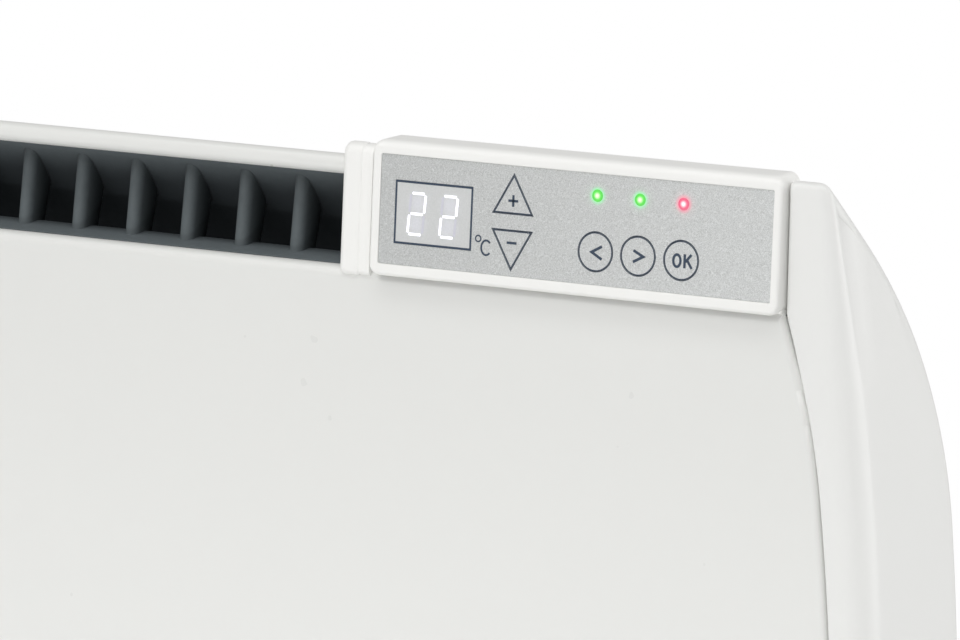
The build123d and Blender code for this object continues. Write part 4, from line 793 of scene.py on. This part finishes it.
def grille():
    """Dark grille: a foot bar, round-nosed leaning fins and the roof above them."""
    made = bmesh.new()
    bar = outline(
        [
            (LIP_FRONT, PANEL_TOP + 0.04),
            (LIP_FRONT, PANEL_TOP + 0.40),
            (GRILLE_FRONT + 4.5, BAR_TOP),
            (GRILLE_FRONT + 4.5, GRILLE_LOW),
            (GRILLE_FRONT - 1.0, GRILLE_LOW),
            (GRILLE_FRONT - 1.0, PANEL_TOP + 0.04),
        ],
        [0.1, 0.25, 1.0, 0.3, 0.3, 0.2],
        [3] * 6,
        [2] * 6,
    )
    stations = [GRILLE_LEFT + (GRILLE_RIGHT - GRILLE_LEFT) * k / 12 for k in range(13)]
    add_bar(made, bar, stations)
    low_z = GRILLE_LOW + 1.0
    fin = GRILLE_RIGHT - FIRST_FIN
    while fin > GRILLE_LEFT + 3.0:
        rings = []
        for k in range(11):
            ring = []
            for t in range(0, 360, 15):
                c, s = unit(t)
                foot_y = GRILLE_FRONT - s * (FIN_NOSE if s > 0 else FIN_DEPTH)
                roof_z = slope_height(foot_y + FIN_RAKE, 3.6)
                z = low_z + (roof_z - low_z) * k / 10
                ring.append(Vector((fin + FIN_HALF * c, foot_y + FIN_RAKE * k / 10, z)) * MM)
            rings.append(ring)
        add_rings(made, rings, first_face=True, last_face=True)
        fin -= FIN_PITCH
    # roof under the casing's shoulder, and the wall behind the fins
    roof = [(y, slope_height(y, 3.1)) for y in (-73.2, *ROOF_Y)]
    roof += [
        (-54.0, slope_height(-54.0, 3.6)),
        (WALL_Y, 148.6),
        (WALL_Y, GRILLE_LOW),
        (WALL_Y - 1.2, GRILLE_LOW),
        (-52.6, 146.6),
        (-54.6, 149.6),
    ]
    roof += [(y, slope_height(y, 4.3)) for y in (*ROOF_Y[::-1], -72.2)]
    add_bar(made, roof, stations)
    replaced = ("outlet_grille",)
    finish_mesh("grille_skin", "heater", "dark_steel", made, replaced, look="grille_black")


grille()


# ---------------------------------------------------------------- print on the label
def ribbon(points, width, closed):
    """Left and right edges of a line of that width, mitred at its corners, in mm."""
    count = len(points)
    left, right = [], []
    for i, point in enumerate(points):
        before = points[i - 1] if (i > 0 or closed) else None
        after = points[(i + 1) % count] if (i < count - 1 or closed) else None
        here = Vector(point)
        one = (here - Vector(before)).normalized() if before is not None else None
        two = (Vector(after) - here).normalized() if after is not None else None
        one, two = one or two, two or one
        normal = Vector((-(one.y + two.y), one.x + two.x)).normalized()
        reach = width / 2 / max(normal.dot(Vector((-one.y, one.x))), 0.3)
        left.append(here + normal * reach)
        right.append(here - normal * reach)
    return left, right


INK_FOOT, INK_TOP = 0.012, 0.047    # levels of the print over the label's face


def print_piece(name, body, strokes):
    """Printed lines on the label or on a key: (points, width, closed) each, in mm."""
    mesh = bpy.data.meshes.new(name)
    made = bmesh.new()
    for points, width, closed in strokes:
        rings = []
        for a, b in zip(*ribbon(points, width, closed)):
            places = ((a, INK_FOOT), (b, INK_FOOT), (b, INK_TOP), (a, INK_TOP))
            rings.append([made.verts.new(on_face(*place, level)) for place, level in places])
        spans = len(rings) if closed else len(rings) - 1
        for i in range(spans):
            here, there = rings[i], rings[(i + 1) % len(rings)]
            for k in range(4):
                made.faces.new((here[k], here[(k + 1) % 4], there[(k + 1) % 4], there[k]))
        if not closed:
            made.faces.new(rings[0][::-1])
            made.faces.new(rings[-1])
    bmesh.ops.recalc_face_normals(made, faces=made.faces)
    made.to_mesh(mesh)
    made.free()
    piece = bpy.data.objects.new(name, mesh)
    bpy.context.scene.collection.objects.link(piece)
    mesh.materials.append(ink.material)
    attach(piece, body)


def arc(centre, radii, start, stop, steps):
    """Points of an elliptical arc between two angles in degrees."""
    count = steps + 1 if abs(stop - start) < 360 else steps
    points = []
    for i in range(count):
        c, s = unit(start + (stop - start) * i / steps)
        points.append((centre[0] + radii[0] * c, centre[1] + radii[1] * s))
    return points


def shrunk_triangle(levels, inset):
    """The key's triangle with its sides moved in (or out, if negative), in mm."""
    base, apex = levels
    corners = [
        Vector((TRIANGLE_X - TRIANGLE_HALF, base)),
        Vector((TRIANGLE_X + TRIANGLE_HALF, base)),
        Vector((TRIANGLE_X, apex)),
    ]
    middle = sum(corners, Vector((0, 0))) / 3
    moved = []
    for i, corner in enumerate(corners):
        lines = []
        for other in (corners[i - 1], corners[(i + 1) % 3]):
            along = (other - corner).normalized()
            normal = Vector((-along.y, along.x))
            if normal.dot(middle - corner) < 0:
                normal = -normal
            lines.append((corner + normal * inset, along))
        (p, d), (q, e) = lines
        cross = d.x * e.y - d.y * e.x
        reach = ((q - p).x * e.y - (q - p).y * e.x) / cross
        point = p + d * reach
        moved.append((point.x, point.y))
    return moved


GAP = 0.1            # clearance of a key in its opening, each side
OUTER_LINE = 0.17    # printed line beside the opening, on the label
INNER_LINE = 0.30    # printed line along the edge of the key
SYMBOL = 0.86        # strokes of the arrows and the upright of the K
LETTER = 0.82        # strokes of the other parts of OK
SIGN = 0.78          # strokes of plus and minus
SIGN_REACH = (1.75, 1.8)
SIGN_MIDDLE = {"key_up": 6.2, "key_down": -6.75}
MARKS = {
    "key_left": [([(10.35, -5.05), (6.75, -7.0), (10.4, -9.0)], SYMBOL, False)],
    "key_right": [([(21.45, -5.2), (24.95, -6.9), (21.4, -8.75)], SYMBOL, False)],
    "key_ok": [
        (arc((36.75, -7.0), (1.25, 1.85), 0, 360, 36), LETTER, True),
        ([(39.45, -4.85), (39.45, -9.1)], SYMBOL, False),
        ([(41.75, -4.85), (39.75, -7.15)], LETTER, False),
        ([(40.25, -6.55), (42.0, -9.1)], LETTER, False),
    ],
}

print_piece(
    "print_display", "thermostat", [(rectangle(-63.85, -36.45, -10.05, 8.95), 0.66, True)]
)
print_piece(
    "print_degree",
    "thermostat",
    [
        (arc((-33.7, -6.35), (0.95, 0.95), 0, 360, 28), 0.45, True),
        (arc((-30.75, -8.98), (1.75, 2.25), 42, 318, 26), 0.62, False),
    ],
)

# ---- light pipes of the display, seen in the face of the window
DIGIT_HALF = 2.65
DIGIT_RISE = 6.35
SLANT = 0.074
PIPE = 0.84              # width of a segment
PIPE_GAP = 0.62          # from the crossing of two segments to the end of one
PIPE_THICKNESS = 0.03
# both ends of each segment, in half widths and quarter heights of the digit
STROKES = {
    "a": ((-1, 2), (1, 2)),
    "b": ((1, 2), (1, 0)),
    "c": ((1, 0), (1, -2)),
    "d": ((-1, -2), (1, -2)),
    "e": ((-1, 0), (-1, -2)),
    "f": ((-1, 2), (-1, 0)),
    "g": ((-1, 0), (1, 0)),
}


def pipe_group(name, letters, slot_name, replaced, level):
    """The same segments of both digits as round-ended bars."""
    made = bmesh.new()
    for digit in DIGIT_X:
        for letter in letters:
            ends = []
            for across, rise in STROKES[letter]:
                up_face = rise / 2 * DIGIT_RISE
                u = digit + across * DIGIT_HALF + SLANT * up_face
                ends.append(Vector((u, DIGIT_ROW + up_face)))
            along = (ends[1] - ends[0]).normalized()
            normal = Vector((-along.y, along.x))
            rims = []
            for end, sign in ((ends[1] - along * PIPE_GAP, 1), (ends[0] + along * PIPE_GAP, -1)):
                for t in range(-90, 91, 18):
                    c, s = unit(t)
                    rims.append(end + (along * c * 0.5 * sign + normal * s * sign) * PIPE / 2)
            rings = [[on_face(*p, w) for p in rims] for w in (level, level + PIPE_THICKNESS)]
            add_rings(made, rings, first_face=True, last_face=True)
    finish_mesh(name, "thermostat", slot_name, made, replaced)


pipe_group("digits_skin", "abged", "segment_lit", ("segments_lit",), 0.015)
pipe_group("unlit_skin", "cf", "segment_dark", ("segments_dark",), 0.010)

LENS = 1.92                          # radius
LENS_FOOT, LENS_RISE = 0.02, 0.22
CIRCLE = [unit(t) for t in range(0, 360, 10)]


def lens_group(name, centres, slot_name, replaced):
    """Low round lenses of the lamps, standing a little proud of the label."""
    made = bmesh.new()
    for x in centres:
        rings = []
        for t in range(0, 85, 12):
            c, s = unit(t)
            size, level = LENS * c, LENS_FOOT + LENS_RISE * s
            rings.append([on_face(x + size * u, LAMP_ROW + size * v, level) for u, v in CIRCLE])
        add_rings(made, rings, first_face=True, last_face=True)
    finish_mesh(name, "thermostat", slot_name, made, replaced)


lens_group("green_lens_skin", GREEN_X, "lamp_green", ("green_lamps",))
lens_group("red_lens_skin", (RED_X,), "lamp_red", ("red_lamp",))

for key_name, key_x in KEY_X.items():
    centre = (key_x, KEY_ROW)
    outer = KEY_RADIUS + GAP + OUTER_LINE / 2
    inner = KEY_RADIUS - GAP - INNER_LINE / 2
    ring = (arc(centre, (outer, outer), 0, 360, 72), OUTER_LINE, True)
    print_piece(f"print_{key_name}_ring", "thermostat", [ring])
    marks = [(arc(centre, (inner, inner), 0, 360, 72), INNER_LINE, True), *MARKS[key_name]]
    print_piece(f"print_{key_name}", key_name, marks)

for key_name, levels in TRIANGLES.items():
    middle = SIGN_MIDDLE[key_name]
    across, upright = SIGN_REACH
    edge = (shrunk_triangle(levels, -GAP - OUTER_LINE / 2), OUTER_LINE, True)
    print_piece(f"print_{key_name}_outline", "thermostat", [edge])
    marks = [
        (shrunk_triangle(levels, GAP + INNER_LINE / 2), INNER_LINE, True),
        ([(TRIANGLE_X - across, middle), (TRIANGLE_X + across, middle)], SIGN, False),
    ]
    if key_name == "key_up":
        bar = [(TRIANGLE_X, middle - upright), (TRIANGLE_X, middle + upright)]
        marks.append((bar, SIGN, False))
    print_piece(f"print_{key_name}", key_name, marks)

# ---------------------------------------------------------------- camera
AZIMUTH, ELEVATION = 31.53, 10.03    # of the camera as seen from the label, in degrees
DISTANCE = 2500.0                    # from the label, in mm
RIGHT_SHIFT, UP_SHIFT = -28.44, -28.24
FOCAL_LENGTH = 308.1
(turn_c, turn_s), (lift_c, lift_s) = unit(AZIMUTH), unit(ELEVATION)
back = Vector((turn_s * lift_c, -turn_c * lift_c, lift_s))
right = Vector((turn_c, turn_s, 0))
up = back.cross(right)
camera_data = bpy.data.cameras.new("camera")
camera_data.sensor_width = 36.0
camera_data.lens = FOCAL_LENGTH
camera_data.clip_start = 0.1
camera_data.clip_end = 50.0
camera = bpy.data.objects.new("camera", camera_data)
bpy.context.scene.collection.objects.link(camera)
camera.rotation_mode = "QUATERNION"
camera.rotation_quaternion = Matrix((right, up, back)).transposed().to_quaternion()
camera.location = LABEL + (back * DISTANCE + right * RIGHT_SHIFT + up * UP_SHIFT) * MM
bpy.context.scene.camera = camera


# ---------------------------------------------------------------- floor, world and lamps
def soft_light(name, place, target, size, power):
    """Rectangular lamp at a place, facing a target: metres and watts."""
    data = bpy.data.lights.new(name, "AREA")
    data.shape = "RECTANGLE"
    data.size, data.size_y = size
    data.energy = power
    light = bpy.data.objects.new(name, data)
    bpy.context.scene.collection.objects.link(light)
    light.location = place
    aim = Vector(target) - Vector(place)
    light.rotation_mode = "QUATERNION"
    light.rotation_quaternion = aim.to_track_quat("-Z", "Y")


soft_light("key_light", (-0.1, -1.75, 1.75), (0.15, 0, 0.1), (1.8, 0.7), 14.8)
soft_light("front_light", (0.6, -2.6, 0.15), (0.2, 0, 0.1), (2.4, 1.2), 5.4)
soft_light("strip_light", (0.2, -0.75, 2.1), (0.2, -0.08, 0.15), (2.8, 0.5), 18.0)
soft_light("side_light", (2.1, 0.85, 0.45), (0.35, 0, 0.05), (1.6, 1.6), 22.0)
soft_light("low_light", (0.25, -0.95, -0.235), (0.25, -0.05, 0.12), (2.2, 0.05), 2.7)

# even room light on the heater, and plain white where the camera sees past it
ROOM_STRENGTH = 0.335
world = bpy.data.worlds.new("world")
bpy.context.scene.world = world
world.use_nodes = True
tree = world.node_tree
room = tree.nodes["Background"]
room.inputs["Color"].default_value = (1, 1, 1, 1)
room.inputs["Strength"].default_value = ROOM_STRENGTH
white = tree.nodes.new("ShaderNodeBackground")
white.inputs["Color"].default_value = (1, 1, 1, 1)
white.inputs["Strength"].default_value = 1.0
ray = tree.nodes.new("ShaderNodeLightPath")
seen = tree.nodes.new("ShaderNodeMath")
seen.operation = "MAXIMUM"
tree.links.new(ray.outputs["Is Camera Ray"], seen.inputs[0])
tree.links.new(ray.outputs["Is Transmission Ray"], seen.inputs[1])
choose = tree.nodes.new("ShaderNodeMixShader")
tree.links.new(seen.outputs["Value"], choose.inputs["Fac"])
tree.links.new(room.outputs["Background"], choose.inputs[1])
tree.links.new(white.outputs["Background"], choose.inputs[2])
tree.links.new(choose.outputs["Shader"], tree.nodes["World Output"].inputs["Surface"])

floor_shader = Shader("floor", (0.86, 0.86, 0.86), 0.8)
floor_shader.vary(400.0, 0.01)
floor_mesh = bpy.data.meshes.new("floor")
FLOOR_CORNERS = rectangle(-1.3, 1.3, -1.3, 0.9)
FLOOR_Z = cad_low.z - 0.08
floor_mesh.from_pydata([(x, y, FLOOR_Z) for x, y in FLOOR_CORNERS], [], [(0, 1, 2, 3)])
floor = bpy.data.objects.new("floor", floor_mesh)
floor_mesh.materials.append(floor_shader.material)
bpy.context.scene.collection.objects.link(floor)

bpy.context.scene.view_settings.view_transform = "Standard"
